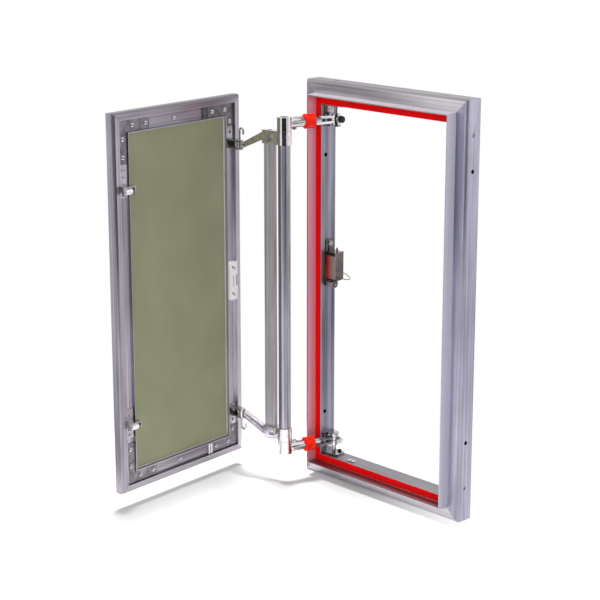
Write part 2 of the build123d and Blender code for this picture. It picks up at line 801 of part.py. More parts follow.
# Board: moisture-resistant gypsum board, flush with the rim's front
board_inset = rim_band + board_gap
with BuildPart() as door_board:
    with BuildSketch(on(leaf, Plane.XZ.offset(rim_thickness))):
        with Locations((leaf_width / 2, leaf_height / 2)):
            Rectangle(leaf_width - 2 * board_inset, leaf_height - 2 * board_inset)
    extrude(amount=-board_thickness)
finish(door_board.part, "door_board")

# Bead of adhesive all round between the board and the rim
with BuildPart() as door_board_bond:
    with BuildSketch(on(leaf, Plane.XZ.offset(rim_thickness))):
        with Locations((leaf_width / 2, leaf_height / 2)):
            Rectangle(leaf_width - 2 * rim_band, leaf_height - 2 * rim_band)
            Rectangle(leaf_width - 2 * board_inset, leaf_height - 2 * board_inset, mode=Mode.SUBTRACT)
    extrude(amount=-board_thickness)
finish(door_board_bond.part, "door_board_bond")

# Corner plates in the rim's channel
plate_out = ridge_end + plate_side_gap
plate_in = lip_start - plate_side_gap
for number, (free, top) in enumerate([(False, False), (True, False), (True, True), (False, True)]):
    rail_leg = free_plate_leg if free else hinge_plate_leg
    stile_leg = free_plate_stile_leg if free else hinge_plate_stile_leg
    corners = [(plate_out + plate_corner_cut, plate_out), (rail_leg, plate_out), (rail_leg, plate_in),
               (plate_in, plate_in), (plate_in, stile_leg), (plate_out, stile_leg),
               (plate_out, plate_out + plate_corner_cut)]
    with BuildPart() as corner_plate:
        with BuildSketch(channel_floor):
            with BuildLine():
                Polyline(*[leaf_corner(*corner, free, top) for corner in corners], close=True)
            make_face()
            with Locations(*rivet_points):
                Circle(rivet_shank_dia / 2, mode=Mode.SUBTRACT)
        extrude(amount=-plate_thickness)
    finish(corner_plate.part, f"corner_plate_{number + 1}")

# Rivets: flat-topped heads with a chamfered rim, shanks through plate and channel floor
plate_top = plate_thickness - channel_depth


def rivet(plane, shank_length):
    """A rivet whose head sits on the plane, its shank going below it."""
    with BuildPart() as body:
        with BuildSketch(plane):
            Circle(rivet_head_dia / 2)
        extrude(amount=rivet_head_height - rivet_head_chamfer)
        with BuildSketch(on(plane, Plane.XY.offset(rivet_head_height - rivet_head_chamfer))):
            Circle(rivet_head_dia / 2)
        extrude(amount=rivet_head_chamfer, taper=rivet_head_taper)
        with BuildSketch(plane):
            Circle(rivet_shank_dia / 2)
        extrude(amount=-shank_length)
    return body.part


with BuildPart() as door_rivets:
    for point in rivet_points:
        seat = on(leaf, Plane((point[0], plate_top, point[1]), z_dir=(0, 1, 0)))
        add(rivet(seat, plate_thickness + rim_wall))
    for point in middle_points:
        seat = on(leaf, Plane((point[0], -channel_depth, point[1]), z_dir=(0, 1, 0)))
        add(rivet(seat, rim_wall))
finish(door_rivets.part, "door_rivets")

# Bright clips beside the hinge-side corner plates: a sheet with two ribs
with BuildPart() as channel_clips:
    for top in (False, True):
        near = leaf_corner(clip_start, plate_out, False, top)
        with BuildSketch(channel_floor):
            with Locations(near):
                Rectangle(clip_length, plate_in - plate_out,
                          align=(Align.MIN, Align.MAX if top else Align.MIN))
        extrude(amount=-clip_rise)
        slot_x = clip_start + clip_length / 2
        with BuildSketch(on(channel_floor, Plane.XY.offset(-clip_rise))):
            with Locations(leaf_corner(slot_x, (plate_out + plate_in) / 2, False, top)):
                Rectangle(clip_slot, plate_in - plate_out)
        extrude(amount=clip_rise - plate_thickness, mode=Mode.SUBTRACT)
finish(channel_clips.part, "channel_clips")

# Door bracket: base sheet in the channel, two ears for the pin and a web between them
bracket_left = ridge_end + door_bracket_side_gap
bracket_right = lip_start - door_bracket_side_gap
door_bracket_bottom_z = frame_height - leaf_bottom - door_bracket_bottom_drop
eye_z = frame_height - leaf_bottom - door_eye_drop
lower_ear_z = eye_z - door_eye_height / 2 - face_gap - door_ear_thickness
upper_ear_z = eye_z + door_eye_height / 2 + face_gap
bracket_face = door_bracket_plate - channel_depth
with BuildPart() as door_bracket_top:
    with BuildSketch(on(leaf, Plane.XY.offset(door_bracket_bottom_z))):
        with Locations((bracket_left, -channel_depth)):
            Rectangle(bracket_right - bracket_left, door_bracket_plate, align=(Align.MIN, Align.MIN))
    extrude(amount=door_bracket_height)
    for ear_z in (lower_ear_z, upper_ear_z):
        with BuildSketch(on(leaf, Plane.XY.offset(ear_z))):
            with Locations((leaf_pin_along, leaf_pin_behind)):
                Circle(door_ear_radius)
            with Locations((bracket_right, bracket_face)):
                Rectangle(door_ear_foot, door_web_thickness, align=(Align.MAX, Align.MIN))
            make_hull()
        extrude(amount=door_ear_thickness)
    with BuildSketch(on(leaf, Plane.XY.offset(lower_ear_z))):
        with Locations((bracket_right - door_ear_foot, bracket_face)):
            Rectangle(door_web_thickness, door_web_reach, align=(Align.MIN, Align.MIN))
    extrude(amount=upper_ear_z - lower_ear_z + door_ear_thickness)
    with BuildSketch(on(leaf, Plane.XY.offset(lower_ear_z))):
        with Locations((leaf_pin_along, leaf_pin_behind)):
            Circle(door_pin_dia / 2)
    extrude(amount=upper_ear_z - lower_ear_z + door_ear_thickness, mode=Mode.SUBTRACT)
    with BuildSketch(on(leaf, Plane.XZ.offset(channel_depth))):
        with Locations(((bracket_left + bracket_right) / 2,
                        door_bracket_bottom_z + door_bracket_height - door_bracket_hole_from_top)):
            Circle(door_bracket_hole_dia / 2)
    extrude(amount=-door_bracket_plate, mode=Mode.SUBTRACT)
finish(door_bracket_top.part, "door_bracket_top")
with BuildPart() as door_bracket_bottom:
    mirror(door_bracket_top.part, about=mid_height)
finish(door_bracket_bottom.part, "door_bracket_bottom")

# Door hinge pin: held in the ears, its thinner outer end bent over like a hook
pin_low = lower_ear_z - face_gap
pin_high = upper_ear_z + door_ear_thickness + face_gap
with BuildPart() as door_hinge_pin_top:
    with BuildSketch(on(leaf, Plane((leaf_pin_along, leaf_pin_behind, pin_low)))):
        Circle(door_pin_dia / 2)
    extrude(amount=pin_high - pin_low)
    with BuildLine(on(leaf, Plane((leaf_pin_along, leaf_pin_behind, pin_high), x_dir=(0, 1, 0),
                                  z_dir=(1, 0, 0)))) as hook_line:
        Polyline((0, 0), *[(x, hook_rise + y) for x, y in half_turn(hook_radius)],
                 (2 * hook_radius, hook_rise - hook_tail))
    with BuildSketch(on(leaf, Plane((leaf_pin_along, leaf_pin_behind, pin_high)))):
        Circle(hook_wire / 2)
    sweep(path=hook_line.wires()[0], transition=Transition.RIGHT)
finish(door_hinge_pin_top.part, "door_hinge_pin_top")
with BuildPart() as door_hinge_pin_bottom:
    mirror(door_hinge_pin_top.part, about=mid_height)
finish(door_hinge_pin_bottom.part, "door_hinge_pin_bottom")

# Striker block: moulded plate with two slanted slots, a key slot and a notch on its outer side
striker_left = ridge_end + striker_side_gap
striker_right = lip_start - striker_side_gap
striker_middle_x = (striker_left + striker_right) / 2
striker_low_z = leaf_height / 2 - striker_below_middle
striker_high_z = leaf_height / 2 + striker_above_middle
striker_middle_z = (striker_low_z + striker_high_z) / 2
striker_screw_points = [(striker_middle_x, striker_high_z - striker_slot_inset),
                        (striker_middle_x, striker_low_z + striker_slot_inset)]
with BuildPart() as striker_block:
    with BuildSketch(channel_floor) as striker_outline:
        with Locations((striker_middle_x, striker_middle_z)):
            RectangleRounded(striker_right - striker_left, striker_high_z - striker_low_z,
                             striker_corner)
    extrude(amount=-(channel_depth + striker_rise))
    with BuildSketch(channel_floor):
        for point in striker_screw_points:
            with Locations(Location(point, striker_slot_tilt)):
                SlotOverall(striker_slot_length, striker_slot_width)
        with Locations(Location((striker_middle_x, striker_middle_z), 90)):
            SlotOverall(striker_key_length, striker_key_width)
        with Locations((striker_left, striker_middle_z)):
            Rectangle(2 * striker_notch_depth, striker_key_length)
    extrude(amount=-(channel_depth + striker_rise), mode=Mode.SUBTRACT)
finish(striker_block.part, "striker_block")

# Striker screws in the slanted slots
with BuildPart() as striker_screws:
    with BuildSketch(channel_floor):
        with Locations(*striker_screw_points):
            Circle(striker_screw_head_dia / 2)
    extrude(amount=-(channel_depth + striker_rise / 2))
finish(striker_screws.part, "striker_screws")

# Guide rollers: a sheet bracket with two ears, an axle along the leaf's width and a roller
guide_left = roller_from_edge - guide_ear_thickness - face_gap
guide_right = roller_from_edge + roller_length + guide_far_ear_gap + guide_ear_thickness
guide_middle = (ridge_end + channel_end) / 2
guide_sets = {"top": (leaf_height - top_guide_from_end, top_guide_foot, top_guide_screws),
              "bottom": (bottom_guide_from_end, bottom_guide_foot, bottom_guide_screws)}
guide_screw_points = []
for name, (z, (below, above), screw_offsets) in guide_sets.items():
    screw_points = [(leaf_width - guide_middle, z + offset) for offset in screw_offsets]
    guide_screw_points += screw_points
    web_low = z + roller_dia / 2 + guide_web_gap
    with BuildPart() as guide_bracket:
        with BuildSketch(channel_floor):
            with Locations((leaf_width - guide_middle, z - below)):
                Rectangle(guide_foot_width, below + above, align=(Align.CENTER, Align.MIN))
            with Locations(*screw_points):
                Circle(rivet_shank_dia / 2, mode=Mode.SUBTRACT)
        extrude(amount=-guide_plate)
        with BuildSketch(on(leaf, Plane.XY.offset(web_low))):
            with Locations((leaf_width - guide_middle, -channel_depth)):
                Rectangle(guide_foot_width, guide_web_foot, align=(Align.CENTER, Align.MIN))
            with Locations((leaf_width - guide_left, guide_ear_low)):
                Rectangle(guide_right - guide_left, guide_ear_top - guide_ear_low,
                          align=(Align.MAX, Align.MIN))
        extrude(amount=guide_web_thickness)
        for inner in (guide_left, guide_right - guide_ear_thickness):
            with BuildSketch(on(leaf, Plane.YZ.offset(leaf_width - inner - guide_ear_thickness))):
                with Locations((roller_height, z)):
                    Circle((guide_ear_top - guide_ear_low) / 2)
                with Locations(((guide_ear_low + guide_ear_top) / 2, web_low)):
                    Rectangle(guide_ear_top - guide_ear_low, guide_web_thickness,
                              align=(Align.CENTER, Align.MIN))
                make_hull()
                with Locations((roller_height, z)):
                    Circle(roller_axle_dia / 2, mode=Mode.SUBTRACT)
            extrude(amount=guide_ear_thickness)
    finish(guide_bracket.part, f"guide_bracket_{name}")

    with BuildPart() as guide_roller:
        with BuildSketch(on(leaf, Plane.YZ.offset(leaf_width - roller_from_edge - roller_length))):
            with Locations((roller_height, z)):
                Circle(roller_dia / 2)
        extrude(amount=roller_length)
        chamfer(guide_roller.edges().filter_by(GeomType.CIRCLE), roller_edge)
        with BuildSketch(on(leaf, Plane.YZ.offset(leaf_width - roller_from_edge - roller_length))):
            with Locations((roller_height, z)):
                Circle(roller_axle_dia / 2 + running_fit)
        extrude(amount=roller_length, mode=Mode.SUBTRACT)
    finish(guide_roller.part, f"guide_roller_{name}")

with BuildPart() as guide_axles:
    for z in (leaf_height - top_guide_from_end, bottom_guide_from_end):
        with BuildSketch(on(leaf, Plane.YZ.offset(leaf_width - guide_right))):
            with Locations((roller_height, z)):
                Circle(roller_axle_dia / 2)
        extrude(amount=guide_right - guide_left)
finish(guide_axles.part, "guide_axles")

with BuildPart() as guide_screws:
    for point in guide_screw_points:
        seat = on(leaf, Plane((point[0], guide_plate - channel_depth, point[1]), z_dir=(0, 1, 0)))
        add(rivet(seat, guide_plate))
finish(guide_screws.part, "guide_screws")

# Push latch on the hinge stile: strap and housing
latch_wall = Plane((stile_wall_x, 0, 0), x_dir=(0, 1, 0), z_dir=(1, 0, 0))
latch_face = on(latch_wall, Plane.XY.offset(latch_plate_thickness))
latch_middle_y = (latch_front + latch_back) / 2
latch_low = frame_height / 2 - latch_below_middle
latch_high = frame_height / 2 + latch_above_middle
latch_screw_level = latch_high - latch_screw_from_top
housing_low = frame_height / 2 + housing_above_middle
housing_high = housing_low + housing_height
rod_top = housing_high + rod_reach
latch_roller_level = housing_low - latch_roller_drop
yoke_level = housing_low - yoke_drop
rod_axis = (stile_wall_x + rod_x, rod_y)
with BuildPart() as latch_plate:
    with BuildSketch(latch_wall):
        with Locations((latch_middle_y, (latch_low + latch_high) / 2)):
            RectangleRounded(latch_back - latch_front, latch_high - latch_low, latch_plate_corner)
        with Locations((latch_middle_y, latch_screw_level)):
            Circle(latch_screw_dia / 2, mode=Mode.SUBTRACT)
    extrude(amount=latch_plate_thickness)
finish(latch_plate.part, "latch_plate")

with BuildPart() as latch_housing:
    with BuildSketch(latch_face):
        with Locations((housing_front, housing_low)):
            Rectangle(housing_back - housing_front, housing_high - housing_low,
                      align=(Align.MIN, Align.MIN))
    extrude(amount=housing_reach)
    fillet(latch_housing.faces().sort_by(Axis.X)[-1].edges().filter_by(Axis.Z), housing_corner)
    with BuildSketch(on(latch_face, Plane.XY)):
        with Locations((housing_front - cover_overhang, housing_high)):
            Rectangle(housing_back - housing_front + cover_overhang, cover_thickness,
                      align=(Align.MIN, Align.MIN))
    extrude(amount=housing_reach + cover_overhang)
    with BuildSketch(Plane.XY.offset(housing_low)):
        with Locations(rod_axis):
            Circle(rod_dia / 2 + running_fit)
    extrude(amount=housing_high + cover_thickness - housing_low, mode=Mode.SUBTRACT)
    with BuildSketch(Plane.XY.offset(housing_low + housing_wall)):
        with Locations(rod_axis):
            Circle(spring_bore_dia / 2)
    extrude(amount=housing_high - housing_low - 2 * housing_wall, mode=Mode.SUBTRACT)
finish(latch_housing.part, "latch_housing")

# Latch yoke: guide rod with a collar, and a bent sheet that carries the roller below the housing.
# It is drawn down against its spring, and the collar stops it at the top.
collar_level = housing_high - housing_wall - face_gap - collar_height
yoke_low_x = stile_wall_x + latch_plate_thickness + yoke_side_gap
yoke_high_x = stile_wall_x + latch_plate_thickness + housing_reach
with BuildPart() as latch_yoke:
    with BuildSketch(Plane.XY.offset(yoke_level)):
        with Locations((yoke_low_x, latch_roller_y - yoke_ear_radius)):
            Rectangle(yoke_high_x - yoke_low_x, rod_y + rod_dia - latch_roller_y + yoke_ear_radius,
                      align=(Align.MIN, Align.MIN))
    extrude(amount=yoke_sheet)
    for ear_x in (yoke_low_x, yoke_high_x - yoke_sheet):
        with BuildSketch(Plane((ear_x, 0, 0), x_dir=(0, 1, 0), z_dir=(1, 0, 0))):
            with Locations((latch_roller_y, latch_roller_level)):
                Circle(yoke_ear_radius)
            with Locations((latch_roller_y, yoke_level)):
                Rectangle(2 * yoke_ear_radius, yoke_sheet, align=(Align.CENTER, Align.MIN))
            make_hull()
            with Locations((latch_roller_y, latch_roller_level)):
                Circle(latch_axle_dia / 2, mode=Mode.SUBTRACT)
        extrude(amount=yoke_sheet)
    with BuildSketch(Plane.XY.offset(yoke_level + yoke_sheet)):
        with Locations(rod_axis):
            Circle(rod_dia / 2)
    extrude(amount=rod_top - yoke_level - yoke_sheet)
    chamfer(latch_yoke.edges().filter_by(GeomType.CIRCLE).sort_by(Axis.Z)[-1], rod_point)
    with BuildSketch(Plane.XY.offset(collar_level)):
        with Locations(rod_axis):
            Circle(collar_dia / 2)
    extrude(amount=collar_height)
finish(latch_yoke.part, "latch_yoke")

roller_low_x = yoke_low_x + yoke_sheet + face_gap
roller_high_x = yoke_high_x - yoke_sheet - face_gap
with BuildPart() as latch_axle:
    with BuildSketch(Plane((yoke_low_x, 0, 0), x_dir=(0, 1, 0), z_dir=(1, 0, 0))):
        with Locations((latch_roller_y, latch_roller_level)):
            Circle(latch_axle_dia / 2)
    extrude(amount=yoke_high_x - yoke_low_x)
finish(latch_axle.part, "latch_axle")

with BuildPart() as latch_roller:
    with BuildSketch(Plane((roller_low_x, 0, 0), x_dir=(0, 1, 0), z_dir=(1, 0, 0))):
        with Locations((latch_roller_y, latch_roller_level)):
            Circle(latch_roller_dia / 2)
            Circle(latch_axle_dia / 2 + running_fit, mode=Mode.SUBTRACT)
    extrude(amount=roller_high_x - roller_low_x)
finish(latch_roller.part, "latch_roller")

# Latch spring round the rod, between the housing's bottom wall and the collar
spring_low = housing_low + housing_wall
spring_high = collar_level
spring_radius = (spring_bore_dia + rod_dia) / 4
spring_pitch = (spring_high - spring_low - spring_wire) / spring_turns
with BuildPart() as latch_spring:
    with BuildLine():
        Helix(spring_pitch, spring_pitch * spring_turns, spring_radius,
              center=(rod_axis[0], rod_axis[1], spring_low + spring_wire / 2))
    with BuildSketch(Plane((rod_axis[0] + spring_radius, rod_axis[1], spring_low + spring_wire / 2),
                           x_dir=(1, 0, 0), z_dir=(0, 1, 0))):
        Rectangle(spring_wire, spring_wire)
    sweep(is_frenet=True)
finish(latch_spring.part, "latch_spring")

# Wire loop of the latch: half an oval that stands out from the housing, tilted down to the back
loop_tilt_turn = math.radians(loop_tilt)
loop_plane = Plane((yoke_high_x, loop_y, housing_low + loop_above_housing_bottom), x_dir=(1, 0, 0),
                   z_dir=(0, math.sin(loop_tilt_turn), math.cos(loop_tilt_turn)))
loop_turns = [math.pi * step / loop_sides for step in range(loop_sides + 1)]
with BuildPart() as latch_wire_loop:
    with BuildLine(loop_plane) as loop_line:
        Polyline((0, -loop_width / 2),
                 *[(loop_leg + (loop_reach - loop_leg) * math.sin(turn),
                    -loop_width / 2 * math.cos(turn)) for turn in loop_turns],
                 (0, loop_width / 2))
    with BuildSketch(on(loop_plane, Plane((0, -loop_width / 2, 0), x_dir=(0, 1, 0), z_dir=(1, 0, 0)))):
        Circle(loop_wire / 2)
    sweep(path=loop_line.wires()[0], transition=Transition.RIGHT)
finish(latch_wire_loop.part, "latch_wire_loop")

# Latch screw in the strap's upper end
with BuildPart() as latch_screws:
    with BuildSketch(latch_wall):
        with Locations((latch_middle_y, latch_screw_level)):
            Circle(latch_screw_dia / 2)
    extrude(amount=latch_plate_thickness)
    with BuildSketch(latch_face):
        with Locations((latch_middle_y, latch_screw_level)):
            Circle(latch_screw_head_dia / 2)
    extrude(amount=latch_screw_head_height)
    with BuildSketch(on(latch_face, Plane.XY.offset(latch_screw_head_height))):
        with Locations((latch_middle_y, latch_screw_level)):
            Rectangle(latch_screw_head_dia, latch_plate_thickness / 2)
    extrude(amount=-latch_screw_head_height / 2, mode=Mode.SUBTRACT)
finish(latch_screws.part, "latch_screws")

# Small clip on the bottom rail
with BuildPart() as rail_clip:
    with BuildSketch(Plane.XY.offset(frame_band)):
        with Locations((rail_clip_x, rail_clip_y)):
            RectangleRounded(rail_clip_length, rail_clip_width, rail_clip_width / 3)
    extrude(amount=rail_clip_thickness)
    with BuildSketch(Plane.XY.offset(frame_band + rail_clip_thickness)):
        with Locations((rail_clip_x, rail_clip_y)):
            Circle(rail_clip_screw_dia / 2)
    extrude(amount=rail_clip_thickness)
finish(rail_clip.part, "rail_clip")
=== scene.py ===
# %% [markdown]
# # Tile access panel
# A frame of mitred aluminium bars sits in a wall opening. A leaf that carries a tiled board hangs in
# it on two double-pivot hinges, so it first comes straight out and then swings aside. The leaf
# stands open here, and its back with the green board, the corner plates and the rollers is seen.
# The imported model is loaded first. Everything made after it is in metres and in the same place.

# %% Load the model and keep its box
import json
import math
import bpy
import bmesh
import numpy as np
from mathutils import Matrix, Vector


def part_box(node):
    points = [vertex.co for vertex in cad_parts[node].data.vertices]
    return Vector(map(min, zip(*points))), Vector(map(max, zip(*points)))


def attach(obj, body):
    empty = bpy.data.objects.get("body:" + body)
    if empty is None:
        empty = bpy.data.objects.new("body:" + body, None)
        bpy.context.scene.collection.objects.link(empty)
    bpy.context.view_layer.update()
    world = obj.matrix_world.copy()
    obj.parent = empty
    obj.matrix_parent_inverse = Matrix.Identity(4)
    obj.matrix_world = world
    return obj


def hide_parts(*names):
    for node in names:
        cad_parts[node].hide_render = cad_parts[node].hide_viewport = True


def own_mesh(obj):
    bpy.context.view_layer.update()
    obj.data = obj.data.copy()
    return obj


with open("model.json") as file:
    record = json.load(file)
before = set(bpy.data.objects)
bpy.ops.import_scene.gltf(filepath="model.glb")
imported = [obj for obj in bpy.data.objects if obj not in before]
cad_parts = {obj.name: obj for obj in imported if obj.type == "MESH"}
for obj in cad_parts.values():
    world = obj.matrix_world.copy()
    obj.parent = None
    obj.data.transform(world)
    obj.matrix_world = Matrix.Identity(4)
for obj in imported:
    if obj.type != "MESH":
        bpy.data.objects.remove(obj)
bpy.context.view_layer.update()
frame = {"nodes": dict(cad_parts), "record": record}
nodes = frame["nodes"]

# %% [markdown]
# ## Where things are
# The leaf is turned about the vertical, so its own directions are needed for every pattern that
# follows a bar: `leaf_across` runs from the hinge edge to the free edge and `leaf_behind` points out
# of its back. The hinge arms have directions of their own. Points could be read off the model one by
# one. They are worked out here from the same angles and lengths as the model's, so they stay true
# along the whole bar.

# %% Directions and pivots
leaf_turn = math.radians(-83.7)
frame_arm_turn = math.radians(-106.37)
door_arm_turn = math.radians(191.08)
frame_arm_length = 0.08442
door_arm_length = 0.07937
pin_across = 0.0252
pin_behind = 0.0255


def level_direction(turn):
    """The level unit vector at an angle from +X: its cosine along X and its sine along Y."""
    return np.array([math.cos(turn), math.sin(turn), 0.0])


leaf_across = level_direction(leaf_turn)
leaf_behind = level_direction(leaf_turn + math.pi / 2)
frame_pin = np.array([-0.1085, 0.003, 0.0])
elbow = frame_pin + frame_arm_length * level_direction(frame_arm_turn)
door_pin = elbow + door_arm_length * level_direction(door_arm_turn)
leaf_foot = door_pin - pin_across * leaf_across - pin_behind * leaf_behind
print("leaf's hinge edge", leaf_foot.round(5))

# %% Sizes of the frame and the leaf
frame_half_width = 0.154
frame_tall = 0.600
front_face = -0.014
leaf_wide = 0.2575
leaf_tall = 0.5495
leaf_bottom = 0.02525
print("frame", 2 * frame_half_width, "x", frame_tall, "leaf", leaf_wide, "x", leaf_tall)


def leaf_point(across, behind, up):
    """The leaf's bottom hinge corner plus steps across, behind and up in the leaf's directions."""
    level = np.array([0, 0, leaf_bottom + up])
    return leaf_foot + across * leaf_across + behind * leaf_behind + level


# %% [markdown]
# ## Camera
# The panel is looked at from the right and a little above, with a long lens, so its uprights stay
# nearly parallel. The camera could be aimed by eye. Its place and turn were worked out beforehand
# instead, from where the frame's and the leaf's corners fall in the picture.

# %% Camera
camera_tilt_down = math.radians(14.691)
camera_turn = math.radians(46.18)


def into_scene(name, data):
    """A new object for a mesh, a lamp or a camera, linked into the scene."""
    made = bpy.data.objects.new(name, data)
    bpy.context.scene.collection.objects.link(made)
    return made


camera_data = bpy.data.cameras.new("camera")
camera_data.lens = 102.947
camera_data.sensor_width = 36.0
camera = into_scene("camera", camera_data)
camera.location = (1.6354, -1.7430, 0.9203)
camera.rotation_euler = (math.pi / 2 - camera_tilt_down, 0.0, camera_turn)
bpy.context.scene.camera = camera
print("camera", math.dist(camera.location, leaf_foot), "m from the leaf's foot")

# %% [markdown]
# ## Trees of nodes
# Floor, world and finishes are all drawn by shader nodes. Nodes can be placed and joined by hand in
# the editor. A few small helpers do the same from a script, and a helper that takes either a number
# or another node's output keeps each finish short to read.

# %% Helpers for node trees
def node_tree(owner):
    """The emptied node tree of a material or a world."""
    owner.use_nodes = True
    owner.node_tree.nodes.clear()
    return owner.node_tree


def feed(tree, value, socket):
    """Put another node's output, a colour of three numbers or a plain value into an input socket."""
    if isinstance(value, bpy.types.NodeSocket):
        tree.links.new(value, socket)
    elif socket.type == "RGBA":
        socket.default_value = (*value, 1)
    else:
        socket.default_value = value


def show(tree, shader_output, kind="ShaderNodeOutputMaterial"):
    """Join a shader to a new output node."""
    feed(tree, shader_output, tree.nodes.new(kind).inputs["Surface"])


def math_node(tree, operation, first, second=None):
    """The result of one sum, product or the like of outputs and numbers."""
    node = tree.nodes.new("ShaderNodeMath")
    node.operation = operation
    feed(tree, first, node.inputs[0])
    if second is not None:
        feed(tree, second, node.inputs[1])
    return node.outputs[0]


def spread(tree, value, low, high, from_low=0.3, from_high=0.7, curve="LINEAR"):
    """A value carried from one range to another and held at its ends.

    Most noise lies between 0.3 and 0.7, so that is the range it is taken from unless told."""
    node = tree.nodes.new("ShaderNodeMapRange")
    node.interpolation_type = curve
    feed(tree, value, node.inputs["Value"])
    feed(tree, from_low, node.inputs["From Min"])
    feed(tree, from_high, node.inputs["From Max"])
    feed(tree, low, node.inputs["To Min"])
    feed(tree, high, node.inputs["To Max"])
    return node.outputs["Result"]


# %% Masks of place and of sight
def object_place(tree):
    """The place on the object in metres. Every object here sits at the origin, unturned."""
    return tree.nodes.new("ShaderNodeTexCoord").outputs["Object"]


def distance_from(tree, place, point):
    """The distance in metres from a place socket to a fixed point."""
    node = tree.nodes.new("ShaderNodeVectorMath")
    node.operation = "DISTANCE"
    feed(tree, place, node.inputs[0])
    feed(tree, point, node.inputs[1])
    return node.outputs["Value"]


def seen_plainly(tree):
    """1 for rays from the camera, off a glossy surface or through glass, otherwise 0."""
    path = tree.nodes.new("ShaderNodeLightPath")
    some = math_node(tree, "MAXIMUM", path.outputs["Is Camera Ray"], path.outputs["Is Glossy Ray"])
    return math_node(tree, "MAXIMUM", some, path.outputs["Is Transmission Ray"])


# %% [markdown]
# ## Floor
# A catalogue picture has a white ground with only a soft shadow left. More lamp light on a white
# sheet would burn out the panel as well. The floor is plain and pale instead: the camera and
# mirror-like surfaces see a little light of its own added to it, so it reaches white where nothing
# shades it, and its shadow stays. Further out it fades into the white world, so no edge is seen.

# %% Floor
floor_size = 30.0
floor_grey = 0.8
floor_glow = 0.06
shadow_middle = (-0.18, -0.22, 0)
white_from = 0.24
white_to = 0.42
white_as_light = 0.7


def flat_sheet(name, middle, along, upward):
    """A rectangle whose corners are a middle point plus or minus half of `along` and `upward`."""
    signs = np.array([[-1, -1], [1, -1], [1, 1], [-1, 1]]) / 2
    corners = np.array(middle) + signs @ np.array([along, upward], float)
    mesh = bpy.data.meshes.new(name)
    mesh.from_pydata(corners.tolist(), [], [(0, 1, 2, 3)])
    return into_scene(name, mesh)


def glowing(tree, strength):
    """White light of its own, with a strength given by a socket."""
    node = tree.nodes.new("ShaderNodeEmission")
    feed(tree, strength, node.inputs["Strength"])
    return node.outputs[0]


def pale_floor():
    """Matt grey with a faint glow near the panel, carried to white as the distance grows."""
    material = bpy.data.materials.new("pale_floor")
    tree = node_tree(material)
    matt = tree.nodes.new("ShaderNodeBsdfDiffuse")
    feed(tree, (floor_grey,) * 3, matt.inputs["Color"])
    near = tree.nodes.new("ShaderNodeAddShader")
    feed(tree, matt.outputs[0], near.inputs[0])
    glow = math_node(tree, "MULTIPLY", seen_plainly(tree), floor_glow)
    feed(tree, glowing(tree, glow), near.inputs[1])
    rest = math_node(tree, "MULTIPLY", seen_plainly(tree), 1 - white_as_light)
    far = glowing(tree, math_node(tree, "ADD", white_as_light, rest))
    away = distance_from(tree, object_place(tree), shadow_middle)
    both = tree.nodes.new("ShaderNodeMixShader")
    feed(tree, spread(tree, away, 0, 1, white_from, white_to, "SMOOTHSTEP"), both.inputs[0])
    feed(tree, near.outputs[0], both.inputs[1])
    feed(tree, far, both.inputs[2])
    show(tree, both.outputs[0])
    return material


floor = flat_sheet("floor", (0, 0, 0), (floor_size, 0, 0), (0, floor_size, 0))
floor.data.materials.append(pale_floor())
print("floor", floor_size, "m wide, white from", white_to, "m outwards")

# %% [markdown]
# ## World
# The world lights the panel from all round. One even white would flatten every bar. To the camera
# and to mirror-like surfaces the world is plain white. To matt surfaces it is brightest at eye level
# and weaker overhead, as in a studio with white walls.

# %% World: white to look at, softer as a light
horizon_light = 0.76
top_light = 0.28


def studio_world():
    """White to look at. Its light falls from the horizon's to the top's with the ray's rise."""
    world = bpy.data.worlds.new("studio")
    tree = node_tree(world)
    direction = tree.nodes.new("ShaderNodeTexCoord")
    parts = tree.nodes.new("ShaderNodeSeparateXYZ")
    feed(tree, direction.outputs["Generated"], parts.inputs[0])
    rise = math_node(tree, "ABSOLUTE", parts.outputs["Z"])
    fall = math_node(tree, "MULTIPLY", rise, horizon_light - top_light)
    sky = math_node(tree, "SUBTRACT", horizon_light, fall)
    plain = seen_plainly(tree)
    as_light = math_node(tree, "MULTIPLY", sky, math_node(tree, "SUBTRACT", 1.0, plain))
    ground = tree.nodes.new("ShaderNodeBackground")
    feed(tree, (1, 1, 1), ground.inputs["Color"])
    feed(tree, math_node(tree, "ADD", plain, as_light), ground.inputs["Strength"])
    show(tree, ground.outputs[0], "ShaderNodeOutputWorld")
    return world


bpy.context.scene.world = studio_world()
print("sky from", top_light, "overhead to", horizon_light, "at eye level")

# %% [markdown]
# ## Lamps
# One soft lamp hangs over the leaf's foot and gives the shadow under it. A sun would give a hard
# edge. The lamp isn't mirrored, because its white square on the upward faces would hide their lines.
# A second, weak lamp stands at the camera's side and lifts the faces that are turned to it.

# %% Lamps
overhead_height = 2.2
overhead_depth = -0.05
past_hinge_edge = 0.06
lamp_offset = 0.10


def soft_lamp(name, place, aim, size, power):
    """A square area lamp at a place, turned so that it shines at a point."""
    data = bpy.data.lights.new(name, "AREA")
    data.size = size
    data.energy = power
    lamp = into_scene(name, data)
    lamp.location = place
    back = np.array(place, float) - np.array(aim, float)
    tilt = math.atan2(math.hypot(back[0], back[1]), back[2])
    lamp.rotation_euler = (tilt, 0, math.atan2(back[0], -back[1]))
    return lamp


over_leaf = leaf_foot[0] - past_hinge_edge * leaf_across[0]
overhead = soft_lamp("overhead", place=(over_leaf - lamp_offset, overhead_depth, overhead_height),
                     aim=(over_leaf, overhead_depth, 0), size=0.46, power=66)
overhead.visible_glossy = False
side = soft_lamp("side", place=(1.9, -1.4, 1.3), aim=(-0.1, -0.1, 0.3), size=1.2, power=17)
print("lamps", overhead.data.energy, "W overhead and", side.data.energy, "W at the side")

